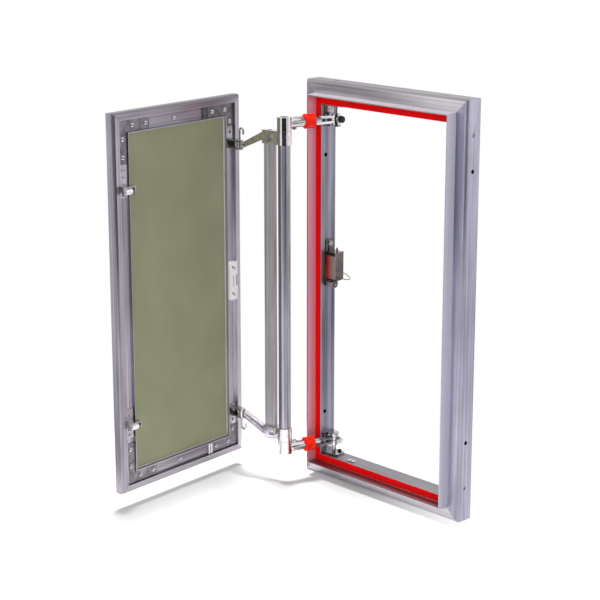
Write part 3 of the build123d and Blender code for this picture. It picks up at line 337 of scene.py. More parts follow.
# %% [markdown]
# ## Dark cards
# Polished metal only looks like metal when it has something dark to mirror. Dark cards stand left of
# the panel and behind the camera, as in a product studio. Two grey sheets lie on the floor where the
# bars mirror it. Only mirror-like surfaces see the cards: they throw no shadow and take no light away.

# %% Dark cards
cards = {
    "left_card": {"middle": (-1.15, -1.05, 0.45), "along": (-0.22, 0.22, 0), "upward": (0, 0, 0.9),
                  "shade": 0.02},
    "near_card": {"middle": (0.70, -0.90, 0.62), "along": (1.2, 1.33, 0), "upward": (0, 0, 1.3),
                  "shade": 0.015},
    "front_floor_card": {"middle": (-0.75, -0.8, 0.002), "along": (0.9, 0, 0),
                         "upward": (0, 0.9, 0), "shade": 0.42},
    "back_floor_card": {"middle": (0.62, 0.82, 0.002), "along": (1.0, 0, 0),
                        "upward": (0, 1.0, 0), "shade": 0.42},
}


def dark_card(name, middle, along, upward, shade):
    """A flat grey sheet, a little blue, that only mirror-like surfaces see."""
    card = flat_sheet(name, middle, along, upward)
    material = bpy.data.materials.new(name)
    tree = node_tree(material)
    matt = tree.nodes.new("ShaderNodeBsdfDiffuse")
    feed(tree, (shade, shade, shade * 1.05), matt.inputs["Color"])
    show(tree, matt.outputs[0])
    card.data.materials.append(material)
    card.visible_camera = False
    card.visible_diffuse = False
    card.visible_shadow = False
    card.visible_transmission = False


for name, card in cards.items():
    dark_card(name, **card)
print("cards", len(cards))

# %% [markdown]
# ## View
# The view transform decides how light becomes colour on the screen. The one that Blender starts with
# softens bright colours. The standard one shows a colour about as it is written, which is what a
# catalogue picture with a white ground needs.

# %% View settings
scene = bpy.context.scene
scene.view_settings.view_transform = "Standard"
print("view", scene.view_settings.view_transform)

# %% [markdown]
# ## Finishes
# Every finish is one surface shader whose colour, roughness and bump are fed by noise. A picture of
# the metal wrapped round a bar would stretch at the mitres. Noise on the object's own coordinates has
# no seam, and one pattern can drive colour, roughness and bump together, as on the real thing, where
# a scratch is seen in all three.

# %% A surface and its bump
def surface(name, colour, metallic, roughness, **sockets):
    """A material with one Principled shader. Other sockets are named with _ for a space."""
    material = bpy.data.materials.new(name)
    tree = node_tree(material)
    shader = tree.nodes.new("ShaderNodeBsdfPrincipled")
    feed(tree, colour, shader.inputs["Base Color"])
    feed(tree, metallic, shader.inputs["Metallic"])
    feed(tree, roughness, shader.inputs["Roughness"])
    for socket, value in sockets.items():
        feed(tree, value, shader.inputs[socket.replace("_", " ")])
    show(tree, shader.outputs[0])
    return material, tree, shader


def bumped(tree, shader, height, distance, strength):
    """A height in units of `distance` metres as bump on a shader."""
    node = tree.nodes.new("ShaderNodeBump")
    feed(tree, height, node.inputs["Height"])
    feed(tree, distance, node.inputs["Distance"])
    feed(tree, strength, node.inputs["Strength"])
    feed(tree, node.outputs[0], shader.inputs["Normal"])


scattered_share = 0.7


def less_metal(tree, shader, where):
    """Metal that scatters part of its light: it is 1 less the scattered share times a value."""
    share = math_node(tree, "MULTIPLY", where, scattered_share)
    feed(tree, math_node(tree, "SUBTRACT", 1.0, share), shader.inputs["Metallic"])


# %% Noise
def pattern_place(tree, stretch, turn=0.0):
    """The place on the object turned back by `turn` about Z, then divided by `stretch`."""
    mapping = tree.nodes.new("ShaderNodeMapping")
    mapping.vector_type = "TEXTURE"
    feed(tree, (0, 0, turn), mapping.inputs["Rotation"])
    feed(tree, stretch, mapping.inputs["Scale"])
    feed(tree, object_place(tree), mapping.inputs["Vector"])
    return mapping.outputs[0]


def noise(tree, size, detail, turn=0.0, roughness=0.5):
    """Soft noise from 0 to 1. `size` is its grain in metres along each axis."""
    node = tree.nodes.new("ShaderNodeTexNoise")
    feed(tree, 1.0, node.inputs["Scale"])
    feed(tree, detail, node.inputs["Detail"])
    feed(tree, roughness, node.inputs["Roughness"])
    feed(tree, pattern_place(tree, size, turn), node.inputs["Vector"])
    return node.outputs["Fac"]


def summed(tree, *parts):
    """The sum of values, each times its share."""
    total = 0.0
    for value, share in parts:
        total = math_node(tree, "ADD", total, math_node(tree, "MULTIPLY", value, share))
    return total


# %% Colours and masks
mix_factor, mix_first, mix_second, mix_result = 0, 6, 7, 2
along_x, along_y, along_z = 0, 1, 2


def mixed_colour(tree, value, first, second, blend="MIX"):
    """A value from 0 to 1 carries the first colour to the second. Both are colours or sockets."""
    node = tree.nodes.new("ShaderNodeMix")
    node.data_type = "RGBA"
    node.blend_type = blend
    feed(tree, value, node.inputs[mix_factor])
    feed(tree, first, node.inputs[mix_first])
    feed(tree, second, node.inputs[mix_second])
    return node.outputs[mix_result]


def facing(tree, direction, low, high):
    """0 to 1 as the cosine between the surface's normal and a direction goes from low to high."""
    place = tree.nodes.new("ShaderNodeTexCoord")
    product = tree.nodes.new("ShaderNodeVectorMath")
    product.operation = "DOT_PRODUCT"
    feed(tree, place.outputs["Normal"], product.inputs[0])
    feed(tree, direction, product.inputs[1])
    return spread(tree, product.outputs["Value"], 0, 1, low, high)


def place_along(tree, axis):
    """The place on the object along one axis, in metres."""
    parts = tree.nodes.new("ShaderNodeSeparateXYZ")
    feed(tree, object_place(tree), parts.inputs[0])
    return parts.outputs[axis]


# %% [markdown]
# ## Extruded aluminium
# The bars are pressed through a die, which leaves fine lines along them. Painted lines would have to
# be laid on each face. A noise that is stretched a hundred times along the bar gives them on every
# face at once. It is turned with the bar, and broader bands and clouds lie under it. Faces that look
# up are darkened as painted shade. The thin tile lip gets painted light: the seal's red reflection
# on the hinge side, lighter on the free side, and painted shade where the top rail's lip looks up.

# %% Extruded aluminium
# Faces that look up are multiplied by this share: painted shade.
painted_top_shade = 0.55
lip_fade = 0.0010
line_depth = 0.00006


def bar_streaks(tree, axis, turn, across, along, detail):
    """Noise in streaks that are `across` metres wide and `along` metres long in one axis."""
    size = [across, across, across]
    size[axis] = along
    return noise(tree, size, detail, turn, roughness=0.6)


def painted_lip_light(tree, shader, colour, lip, lip_way):
    """The tile lip's painted light: how far a face lies before the front face, times its facing."""
    forward = spread(tree, place_along(tree, along_y), 1, 0, from_low=front_face - lip_fade,
                     from_high=front_face)
    painted_lip_mask = math_node(tree, "MULTIPLY", forward, facing(tree, lip_way, low=0.5, high=0.8))
    less_metal(tree, shader, painted_lip_mask)
    return mixed_colour(tree, painted_lip_mask, colour, lip)


def extruded_aluminium(name, axis, light, dark, roughness=0.34, turn=0.0, lip=None,
                       lip_way=(1, 0, 0), painted_glint=None, painted_glint_way=None):
    """Drawn aluminium whose lines run along one axis of directions turned by `turn` about Z.

    The colour goes from dark to light with the sum of lines, bands and clouds. Faces that look up
    are darkened as painted shade. Faces that look along `painted_glint_way` turn to
    `painted_glint`, a painted highlight, and the side of the tile lip that looks along `lip_way`
    scatters the colour `lip`, painted light and shade and the seal's painted reflection."""
    material, tree, shader = surface(name, light, 1.0, roughness)
    lines = bar_streaks(tree, axis, turn, across=0.0008, along=0.30, detail=3)
    bands = bar_streaks(tree, axis, turn, across=0.0040, along=0.60, detail=3)
    clouds = bar_streaks(tree, axis, turn, across=0.030, along=0.16, detail=2)
    drawn = summed(tree, (lines, 0.40), (bands, 0.35), (clouds, 0.25))
    share = spread(tree, drawn, 0, 1, from_low=0.41, from_high=0.59)
    colour = mixed_colour(tree, share, dark, light)
    # Faces that look up are darkened: painted shade.
    painted_top_shade_mask = facing(tree, (0, 0, 1), low=0.2, high=0.6)
    colour = mixed_colour(tree, painted_top_shade_mask, colour, (painted_top_shade,) * 3, "MULTIPLY")
    # Faces along the glint's direction turn to a painted highlight.
    if painted_glint:
        colour = mixed_colour(tree, facing(tree, painted_glint_way, low=0.80, high=0.95), colour, painted_glint)
    # On the tile lip the colour is painted light and shade, with the seal's red reflection.
    if lip:
        colour = painted_lip_light(tree, shader, colour, lip, lip_way)
    feed(tree, colour, shader.inputs["Base Color"])
    feed(tree, spread(tree, bands, roughness - 0.08, roughness + 0.10), shader.inputs["Roughness"])
    bumped(tree, shader, lines, line_depth, strength=0.6)
    return material


# %% Aluminium of the frame
# The lip colours are painted: lighter on the free stile, the seal's red reflection on the hinge side,
# and shade where the top rail's lip looks up.
upright_aluminium = extruded_aluminium("upright_aluminium", along_z, (0.63, 0.61, 0.745),
                                       (0.32, 0.31, 0.395), lip=(0.58, 0.58, 0.68))
rail_aluminium = extruded_aluminium("rail_aluminium", along_x, (0.68, 0.64, 0.69),
                                    (0.40, 0.37, 0.41))
top_aluminium = extruded_aluminium("top_aluminium", along_x, (0.74, 0.70, 0.75), (0.44, 0.41, 0.45),
                                   lip=(0.30, 0.29, 0.31), lip_way=(0, 0, 1))
# The hinge side is a much darker copy of the frame's aluminium: painted shade.
shaded_hinge_side_aluminium = extruded_aluminium("shaded_hinge_side_aluminium", along_z, (0.40, 0.385, 0.47),
                                          (0.15, 0.145, 0.185), lip=(0.66, 0.31, 0.38))

# %% Aluminium of the leaf and of the hinge
# The free stile's inner slope is turned a light lilac: a painted highlight.
slope_turn = math.radians(60)
inner_slope = math.cos(slope_turn) * leaf_behind - math.sin(slope_turn) * leaf_across
leaf_upright_aluminium = extruded_aluminium("leaf_upright_aluminium", along_z, (0.62, 0.58, 0.65),
                                            (0.26, 0.24, 0.285), painted_glint=(0.93, 0.90, 0.99),
                                            painted_glint_way=inner_slope)
# The hinge rim is a lighter copy of the leaf upright's aluminium: painted light.
lit_hinge_rim_aluminium = extruded_aluminium("lit_hinge_rim_aluminium", along_z, (0.78, 0.74, 0.81),
                                         (0.40, 0.38, 0.43))
leaf_rail_aluminium = extruded_aluminium("leaf_rail_aluminium", along_x, (0.50, 0.465, 0.52),
                                         (0.25, 0.23, 0.265), turn=leaf_turn)
post_aluminium = extruded_aluminium("post_aluminium", along_z, (0.60, 0.58, 0.68),
                                    (0.24, 0.23, 0.28), roughness=0.30)
bar_aluminium = extruded_aluminium("bar_aluminium", along_z, (0.84, 0.82, 0.92), (0.42, 0.40, 0.47),
                                   roughness=0.42)
print("aluminium finishes", sum(made.name.endswith("_aluminium") for made in bpy.data.materials))

# %% [markdown]
# ## Rubber and plastics
# The seal is matt red rubber, the sleeves are glossy red plastic, and the rollers and the striker
# are white moulding. One flat colour would look like paint. A weak cloud in the colour and a faint
# uneven skin in the bump are enough for all of them, and the bead of adhesive only has a coarser one.

# %% Rubber and plastics
plastic_cloud = 0.02


def moulded(name, colour, roughness, grain=0.0012, depth=0.00003, shade=0.85, **sockets):
    """Moulded plastic: the colour dips to `shade` of itself in clouds, and fine grain is bump."""
    material, tree, shader = surface(name, colour, 0.0, roughness, **sockets)
    skin = noise(tree, (grain,) * 3, detail=2)
    cloud = noise(tree, (plastic_cloud,) * 3, detail=3)
    darker = tuple(part * shade for part in colour)
    feed(tree, mixed_colour(tree, spread(tree, cloud, 0, 1), darker, colour),
         shader.inputs["Base Color"])
    feed(tree, spread(tree, skin, roughness - 0.06, roughness + 0.06), shader.inputs["Roughness"])
    bumped(tree, shader, skin, depth, strength=0.6)
    return material


seal_rubber = moulded("seal_rubber", (0.94, 0.002, 0.004), roughness=0.55, shade=0.92,
                      Specular_IOR_Level=0.06)
sleeve_plastic = moulded("sleeve_plastic", (0.95, 0.012, 0.001), roughness=0.14, depth=0.00004,
                         shade=0.92, Specular_IOR_Level=0.2)
white_moulding = moulded("white_moulding", (0.93, 0.92, 0.93), roughness=0.4, shade=0.95)
bead_of_adhesive = moulded("bead_of_adhesive", (0.62, 0.62, 0.58), roughness=0.6, grain=0.003,
                           depth=0.0003)
print("materials so far", len(bpy.data.materials))

# %% [markdown]
# ## Metals of the fittings
# The fittings are plated steel, cast zinc and bare sheet. They differ in how bright, how cloudy and
# how rough they are, and hardly in anything else. So one recipe makes all of them: broad clouds and
# fine scratches mixed for the colour, and the scratches alone for roughness and bump.

# %% Metals of the fittings
bright_colour = (0.72, 0.71, 0.73)
lowest_roughness = 0.03
metal_cloud = 0.009


def fitting_metal(name, light, dark, roughness, grain=0.002, depth=0.00002, stretch=(1, 1, 1),
                  fine_share=0.4):
    """Plated or bare metal: dark to light with `fine_share` of scratches and the rest of clouds."""
    material, tree, shader = surface(name, light, 1.0, roughness)
    cloud = noise(tree, (metal_cloud,) * 3, detail=4)
    fine = noise(tree, tuple(grain * part for part in stretch), detail=5)
    worn = summed(tree, (cloud, 1 - fine_share), (fine, fine_share))
    share = spread(tree, worn, 0, 1, from_low=0.35, from_high=0.65)
    feed(tree, mixed_colour(tree, share, dark, light), shader.inputs["Base Color"])
    smoothest = max(lowest_roughness, roughness - 0.06)
    feed(tree, spread(tree, fine, smoothest, roughness + 0.08), shader.inputs["Roughness"])
    bumped(tree, shader, fine, depth, strength=0.5)
    return material


bright_plating = fitting_metal("bright_plating", bright_colour, (0.52, 0.51, 0.53), roughness=0.07,
                               grain=0.004)
satin_plating = fitting_metal("satin_plating", (0.66, 0.65, 0.67), (0.24, 0.235, 0.25),
                              roughness=0.16, grain=0.003, depth=0.00006)
cast_zinc = fitting_metal("cast_zinc", (0.95, 0.90, 0.97), (0.62, 0.58, 0.64), roughness=0.13,
                          grain=0.004)
dull_zinc = fitting_metal("dull_zinc", (0.34, 0.335, 0.36), (0.14, 0.135, 0.15), roughness=0.40,
                          grain=0.003, depth=0.00006)
latch_sheet = fitting_metal("latch_sheet", (0.27, 0.235, 0.22), (0.13, 0.11, 0.10), roughness=0.12)
wire_steel = fitting_metal("wire_steel", (0.30, 0.29, 0.28), (0.14, 0.135, 0.13), roughness=0.3)
bright_sheet = fitting_metal("bright_sheet", (0.62, 0.61, 0.63), (0.42, 0.41, 0.43), roughness=0.25)
blackened = fitting_metal("blackened", (0.06, 0.06, 0.065), (0.03, 0.03, 0.032), roughness=0.38)
print("materials so far", len(bpy.data.materials))

# %% [markdown]
# ## Plating on the hinge arms
# A polished round arm mirrors the studio in bright and dark stripes along its length, but its upright
# elbow bush doesn't. More cards round the panel would give the stripes and spoil the other pieces.
# Here the stripes are painted reflections: bands in the colour that change only with the height,
# and they are taken away round the elbow.

# %% Plating on the hinge arms
bush_radius = 0.0125
past_bush = 0.0135
flattened = (1, 1, 1e6)


def shader_and_colour(material):
    """A finished material's tree, its surface shader and the socket that its colour comes from."""
    tree = material.node_tree
    shader = next(node for node in tree.nodes if node.type == "BSDF_PRINCIPLED")
    return tree, shader, shader.inputs["Base Color"].links[0].from_socket


def plated_arm_painted_stripes():
    """Painted reflection stripes in the height, and one bright colour where the level distance to
    the elbow is short.
    """
    # Bright and dark bands that change only with the height: painted reflection stripes.
    material = fitting_metal("arm_plating_painted_stripes", (0.95, 0.94, 0.96), (0.22, 0.215, 0.225),
                             roughness=0.07, grain=0.0024, depth=0.00001, stretch=(30, 30, 1),
                             fine_share=0.9)
    tree, shader, painted_stripes = shader_and_colour(material)
    from_elbow = distance_from(tree, pattern_place(tree, flattened), elbow)
    round_elbow = spread(tree, from_elbow, 1, 0, bush_radius, past_bush)
    feed(tree, mixed_colour(tree, round_elbow, painted_stripes, bright_colour), shader.inputs["Base Color"])
    return material


arm_plating_painted_stripes = plated_arm_painted_stripes()
print("arm plating is plain within", bush_radius, "m of", elbow.round(4))

# %% [markdown]
# ## Painted glow and shade on the latch's case
# The latch sits in a case of dark bronze sheet beside the red seal, and the side of its front that
# is next to the seal glows red. Light that is thrown back and forth between them would need many
# bounces to show. The red glow is painted into the colour instead: it fades across the front, and
# painted shade lies as a dark line under the edge of the cover.

# %% Painted glow and shade on the latch's case
# Painted light and shade: the seal's red glow on the front and a dark line under the cover.
painted_seal_glow = (0.62, 0.035, 0.025)
bronze = (0.36, 0.27, 0.25)
cover_shade = (0.02, 0.015, 0.012)
glow_full, glow_gone = 0.1, 0.7
shade_low, shade_high = 0.0062, 0.0048


def case_with_painted_glow():
    """The front's painted red glow fades to bronze across its width, and painted shade darkens it
    below the cover.
    """
    material = fitting_metal("latch_case", (0.30, 0.26, 0.24), (0.15, 0.13, 0.12), roughness=0.12)
    tree, shader, plain = shader_and_colour(material)
    low, high = np.array(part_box("latch_housing"))
    wide = high[0] - low[0]
    front = facing(tree, (0, -1, 0), low=0.6, high=0.9)
    away = spread(tree, place_along(tree, along_x), 0, 1, low[0] + glow_full * wide,
                  low[0] + glow_gone * wide)
    glow = mixed_colour(tree, away, painted_seal_glow, bronze)
    under_cover = spread(tree, place_along(tree, along_z), 0, 1, high[2] - shade_low,
                         high[2] - shade_high)
    shaded = math_node(tree, "MULTIPLY", under_cover, front)
    colour = mixed_colour(tree, shaded, mixed_colour(tree, front, plain, glow), cover_shade)
    feed(tree, colour, shader.inputs["Base Color"])
    less_metal(tree, shader, front)
    print("latch case from", low.round(4), "to", high.round(4))
    return material


latch_case = case_with_painted_glow()

# %% [markdown]
# ## Paper face of the gypsum board
# The green board is gypsum between two sheets of paper. The paper is felted, so it has short fibres
# and soft blotches, and it hardly shines. An even green would look like paint. Both patterns are
# turned with the leaf and are a little longer upwards, because machine-made paper has its fibres
# mostly one way.

# %% Paper face of the gypsum board
def board_paper():
    """Green paper: dark to light with half of fine fibres and half of wide blotches."""
    material, tree, shader = surface("board_paper", (0.26, 0.27, 0.165), 0.0, 0.85)
    fibre = noise(tree, (0.0011, 0.0011, 0.0016), detail=6, turn=leaf_turn, roughness=0.65)
    blotch = noise(tree, (0.05, 0.05, 0.08), detail=4, turn=leaf_turn)
    felt = summed(tree, (fibre, 0.5), (blotch, 0.5))
    felt = spread(tree, felt, 0, 1, from_low=0.35, from_high=0.65)
    feed(tree, mixed_colour(tree, felt, (0.240, 0.250, 0.150), (0.292, 0.303, 0.189)),
         shader.inputs["Base Color"])
    bumped(tree, shader, fibre, distance=0.0001, strength=0.6)
    return material


gypsum_paper = board_paper()
print("board finish", gypsum_paper.name)

# %% [markdown]
# ## Where a node belongs
# A new piece stands for one or more nodes of the model, which it hides. It moves with their
# body, which is looked up in the model's record and never typed in again, and it takes the
# finish that it is given.

# %% Where a node belongs
body_of = {name: body for body, names in frame["record"]["behaviour"]["bodies"].items()
           for name in names}


def settle(piece, node_names, material):
    """Hand a piece the place of one or more nodes: their body and their finish."""
    for node_name in node_names:
        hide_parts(node_name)
    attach(piece, body_of[node_names[0]])
    piece.data.materials.clear()
    piece.data.materials.append(material)
    return piece


# %% [markdown]
# ## Surfaces worked out as arrays
# Round parts are surfaces of two parameters. A turned part is a profile carried round an axis, and
# a wire is a circle carried along a path. Both could be drawn as curves with modifiers. As whole
# arrays of points joined into one mesh they need no conversion, and their measures are exact.

# %% Meshes from arrays of points
same_point = 1e-7
sharp_on_grid = math.radians(40)


def shaded_piece(name, mesh, sharp_angle):
    """An object for a mesh: smooth faces, and edges that turn more than an angle kept sharp."""
    mesh.polygons.foreach_set("use_smooth", np.ones(len(mesh.polygons), bool))
    mesh.set_sharp_from_angle(angle=sharp_angle)
    return into_scene(name, mesh)


def grid_mesh(name, points):
    """A mesh from points of shape (copies, rows, columns, 3), closed from last column to first.

    Each quad joins a point, its neighbour in the row, and the same two in the next row."""
    copies, rows, columns, _ = points.shape
    index = np.arange(copies * rows * columns).reshape(copies, rows, columns)
    turn = np.roll(index, -1, axis=2)
    quads = np.stack([index[:, :-1], turn[:, :-1], turn[:, 1:], index[:, 1:]], axis=-1)
    mesh = bpy.data.meshes.new(name)
    mesh.from_pydata(points.reshape(-1, 3).tolist(), [], quads.reshape(-1, 4).tolist())
    shape = bmesh.new()
    shape.from_mesh(mesh)
    bmesh.ops.remove_doubles(shape, verts=shape.verts, dist=same_point)
    bmesh.ops.recalc_face_normals(shape, faces=shape.faces)
    shape.to_mesh(mesh)
    shape.free()
    return shaded_piece(name, mesh, sharp_on_grid)


# %% Turned parts
def turned(name, profile, seats, axis, columns=28, sides=None):
    """A profile of (radius, height) rows carried round an axis at each seat point.

    A point is the seat, plus the height along the axis, plus the radius at its angle in the plane
    square to the axis. With `sides`, the radius is held inside a regular polygon: a bolt's head."""
    axis = np.array(axis, float) / np.linalg.norm(axis)
    helper = np.array([0.0, 0.0, 1.0]) if abs(axis[2]) < 0.9 else np.array([1.0, 0.0, 0.0])
    first = np.cross(helper, axis)
    first /= np.linalg.norm(first)
    second = np.cross(axis, first)
    angle = np.linspace(0, 2 * math.pi, columns, endpoint=False)
    radius, height = np.array(profile, float).T
    radius = np.repeat(radius[:, None], columns, axis=1)
    if sides:
        apothem, count = sides
        step = 2 * math.pi / count
        wall = apothem / np.cos((angle + step / 2) % step - step / 2)
        radius = np.minimum(radius, wall[None, :])
    ring = np.cos(angle)[:, None] * first + np.sin(angle)[:, None] * second
    rows = radius[:, :, None] * ring[None, :, :] + height[:, None, None] * axis
    seats = np.atleast_2d(np.array(seats, float))
    return grid_mesh(name, seats[:, None, None, :] + rows[None])


# %% Wires
def wire(name, path, radius, columns=16):
    """A round wire: a circle carried along a path, its plane square to the path at every point.

    A point is the path's point plus the radius times the cosine of its angle across the path and
    the sine of its angle along the path's normal. Both ends are closed to a point."""
    path = np.array(path, float)
    run = np.gradient(path, axis=0)
    run /= np.linalg.norm(run, axis=1)[:, None]
    normal = np.cross(run[0], run[len(run) // 2])
    normal /= np.linalg.norm(normal)
    across = np.cross(run, normal)
    angle = np.linspace(0, 2 * math.pi, columns, endpoint=False)
    circle = (np.cos(angle)[None, :, None] * across[:, None, :]
              + np.sin(angle)[None, :, None] * normal)
    rows = path[:, None, :] + radius * circle
    first_cap, last_cap = (np.repeat(path[end][None, None, :], columns, axis=1) for end in (0, -1))
    return grid_mesh(name, np.concatenate([first_cap, rows, last_cap])[None])


# %% [markdown]
# ## Seal
# The seal is pressed into a groove and its soft lips lie on the groove's two ribs, so nearly the
# whole ledge looks red. A box for each strip would leave the ribs bare. It is one closed profile
# carried round the frame, with mitred corners where the strips meet. It stays low, because the
# closed leaf comes close to it.

# %% Profile of the seal
seal_inset, seal_wide = 0.0230, 0.0102
groove_from, groove_to = 0.0239, 0.0321
lip_level = 0.00122
groove_level = -0.0019
crown_level = 0.00126
crown_rise = 0.00018
crease_depth, crease_width = 0.0004, 0.09
across_seal = np.linspace(0, 1, 25)
crease = crease_depth * np.exp(-((across_seal - 0.5) / crease_width) ** 2)
crown = crown_level + crown_rise * np.sin(np.pi * across_seal) ** 0.6 - crease
top_row = np.stack([seal_inset + seal_wide * across_seal, crown], axis=1)
under_row = np.array([[seal_inset + seal_wide, lip_level], [groove_to, lip_level],
                      [groove_to, groove_level], [groove_from, groove_level],
                      [groove_from, lip_level], [seal_inset, lip_level]])
seal_profile = np.concatenate([top_row, under_row])
print("seal crown", crown.min().round(5), "to", crown.max().round(5), "m over the front face")

# %% Seal round the frame
corner_sign = np.array([[-1, 0], [1, 0], [1, 1], [-1, 1], [-1, 0]], float)
inset = seal_profile[None, :, 0]
seal_x = corner_sign[:, :1] * (frame_half_width - inset)
seal_z = np.where(corner_sign[:, 1:] > 0, frame_tall - inset, inset)
seal_y = np.repeat(front_face - seal_profile[None, :, 1], len(corner_sign), axis=0)
seal_ring = grid_mesh("seal_ring", np.stack([seal_x, seal_y, seal_z], axis=-1)[None])
settle(seal_ring, ["seal_top", "seal_bottom", "seal_hinge_side", "seal_free_side"], seal_rubber)

# %% [markdown]
# ## Rivets and screws on the leaf
# Blind rivets hold the corner plates: a low dome with the hole that the drawn pin leaves. The
# roller brackets are held by the same heads. Each could be its own object. All are one profile
# carried round the leaf's own direction at each seat, and one mesh holds them.

# %% Rivets of the corner plates and the rails
channel_line = 0.0198
plate_level = 0.0006
rim_level = -0.0009
rivet_profile = np.array([(0, 0.0004), (0.0011, 0.0004), (0.0012, 0.0016), (0.0017, 0.00185),
                          (0.0026, 0.0016), (0.0033, 0.0010), (0.00375, 0.0002), (0.00375, -0.0002),
                          (0.0034, -0.0004), (0, -0.0004)])
rail_middle = 0.1350
up_free_stile = (0.0375, 0.0630)
up_hinge_stile = 0.0380
both_rails = (channel_line, leaf_tall - channel_line)
along_rails = (leaf_wide - 0.0385, leaf_wide - 0.0650, 0.0305, 0.0574)
plate_rows = [(across, level) for across in along_rails for level in both_rails]
plate_rows += [(leaf_wide - channel_line, level) for up in up_free_stile
               for level in (up, leaf_tall - up)]
plate_rows += [(channel_line, level) for level in (up_hinge_stile, leaf_tall - up_hinge_stile)]
single_rows = [(rail_middle, level) for level in both_rails]
rivet_seats = [leaf_point(across, plate_level, level) for across, level in plate_rows]
rivet_seats += [leaf_point(across, rim_level, level) for across, level in single_rows]
rivet_heads = turned("rivet_heads", rivet_profile, rivet_seats, leaf_behind)
settle(rivet_heads, ["door_rivets"], bright_plating)
print("rivets", len(rivet_seats))

# %% Heads on the roller brackets
guide_head_share = 0.85
guide_line = leaf_wide - 0.01965
guide_rows = ((0.44075, (0.0284, 0.0190, -0.0077)), (0.10025, (0.0195, -0.0085, -0.0160)))
guide_levels = [middle + step for middle, steps in guide_rows for step in steps]
guide_heads = turned("guide_screw_heads", rivet_profile * guide_head_share,
                     [leaf_point(guide_line, plate_level, level) for level in guide_levels],
                     leaf_behind)
settle(guide_heads, ["guide_screws"], bright_plating)
print("guide heads", len(guide_levels))

# %% [markdown]
# ## Hooked hinge pins
# The leaf hangs on bent wire: a thick shank through the bracket, and a thinner end that is bent over
# as a hook. A torus cut in half would need its ends fitted. The path is a straight run, a half
# circle and a short tail, worked out point by point in the leaf's directions, and a circle is
# carried along it. The bottom pin is the top one mirrored about the panel's middle height.

# %% Hooked hinge pins
shank_span = np.array([0.47295, 0.48755])
shank_radius, shank_corner = 0.0025, 0.0003
shank_end = shank_radius - shank_corner
hook_low, hook_high = 0.4870, 0.50125
hook_radius, hook_tail, hook_wire = 0.0034, 0.0053, 0.0016


def hook_path(bottom, top, radius, tail, steps=20):
    """Along the pin from bottom to top, round a half circle away from the leaf, and down a tail."""
    turn = np.linspace(0, math.pi, steps)
    bend = np.stack([radius - radius * np.cos(turn), top + radius * np.sin(turn)], axis=1)
    straight = np.stack([np.zeros(8), np.linspace(bottom, top, 8, endpoint=False)], axis=1)
    end = np.stack([np.full(4, 2 * radius), np.linspace(top, top - tail, 5)[1:]], axis=1)
    return np.concatenate([straight, bend, end])


def at_pin(plan, mirrored):
    """Points of a hook's plan in the world, upright or mirrored about the panel's middle height."""
    level = leaf_bottom + plan[:, 1]
    level = frame_tall - level if mirrored else level
    place = leaf_foot + pin_across * leaf_across + (pin_behind + plan[:, :1]) * leaf_behind
    return place + np.outer(level, [0, 0, 1])


for name, mirrored in (("top", False), ("bottom", True)):
    shank_low, shank_high = at_pin(np.stack([np.zeros(2), shank_span], axis=1), mirrored)
    up = shank_high - shank_low
    height = np.linalg.norm(up)
    shank_profile = [(0, 0), (shank_end, 0), (shank_radius, shank_corner),
                     (shank_radius, height - shank_corner), (shank_end, height), (0, height)]
    shank = turned("pin_shank_" + name, shank_profile, [shank_low], up)
    hook = wire("pin_hook_" + name,
                at_pin(hook_path(hook_low, hook_high, hook_radius, hook_tail), mirrored), hook_wire)
    settle(shank, ["door_hinge_pin_" + name], bright_plating)
    settle(hook, ["door_hinge_pin_" + name], bright_plating)

# %% [markdown]
# ## The latch's wire
# A thin wire loop hangs out of the latch's case for the hand to pull. It droops, so it lies in a
# plane that is tilted downwards. Both its ends go straight into the case, and between them the wire
# is half an ellipse. Points set by hand would leave kinks in so thin a wire. The formula has none.

# %% The latch's wire
loop_tilt = math.radians(53.0)
loop_depth, loop_level = 0.0044, 0.313
loop_straight, loop_bulge = 0.006, 0.016
loop_half_width = 0.0085
loop_wire = 0.0006
loop_down = np.array([0.0, math.cos(loop_tilt), -math.sin(loop_tilt)])
low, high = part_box("latch_wire_loop")
loop_start = np.array([low[0], loop_depth, loop_level])
turn = np.linspace(0, math.pi, 36)
foot = [0, loop_straight / 2]
loop_out = np.concatenate([foot, loop_straight + loop_bulge * np.sin(turn), foot[::-1]])
loop_side = loop_half_width * np.concatenate([[-1, -1], -np.cos(turn), [1, 1]])
loop_points = loop_start + np.outer(loop_out, [1, 0, 0]) + np.outer(loop_side, loop_down)
latch_wire = wire("latch_wire", loop_points, loop_wire, columns=10)
settle(latch_wire, ["latch_wire_loop"], wire_steel)
print("wire box", low, high)

# %% [markdown]
# ## Latch spring
# A coil spring round the rod pushes the yoke up. The modelled coil is stiff, so the collar would sink
# into it when the roller is pressed down. The coil here is one round wire led along a helix.

# %% Latch spring
spring_low, spring_high = np.array(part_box("latch_spring"))
spring_middle = (spring_low + spring_high) / 2
spring_wire = 0.0005
spring_turns = 5
steps_a_turn = 30
spring_radius = (spring_high[0] - spring_low[0]) / 2 - spring_wire
spring_height = spring_high[2] - spring_low[2]
along_coil = np.linspace(0, 1, steps_a_turn * spring_turns + 1)
angle = 2 * np.pi * spring_turns * along_coil
coil_path = np.stack([spring_middle[0] + spring_radius * np.cos(angle),
                      spring_middle[1] + spring_radius * np.sin(angle),
                      spring_low[2] + spring_wire + along_coil * (spring_height - 2 * spring_wire)],
                     axis=-1)
spring_coil = wire("spring_coil", coil_path, spring_wire, columns=8)
settle(spring_coil, ["latch_spring"], wire_steel)
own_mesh(spring_coil)
print("spring height", round(spring_height, 4), "radius", round(spring_radius, 5))

# %% [markdown]
# ## Clamp bolts
# A hexagon head with rounded corners, a spring washer and a plain washer sit on the boss at the
# arm's flat end. A six-sided cylinder would have sharp corners all the way up. The head is a turned
# profile held inside a hexagon, so its corners are rounded off at the top as on a real bolt.

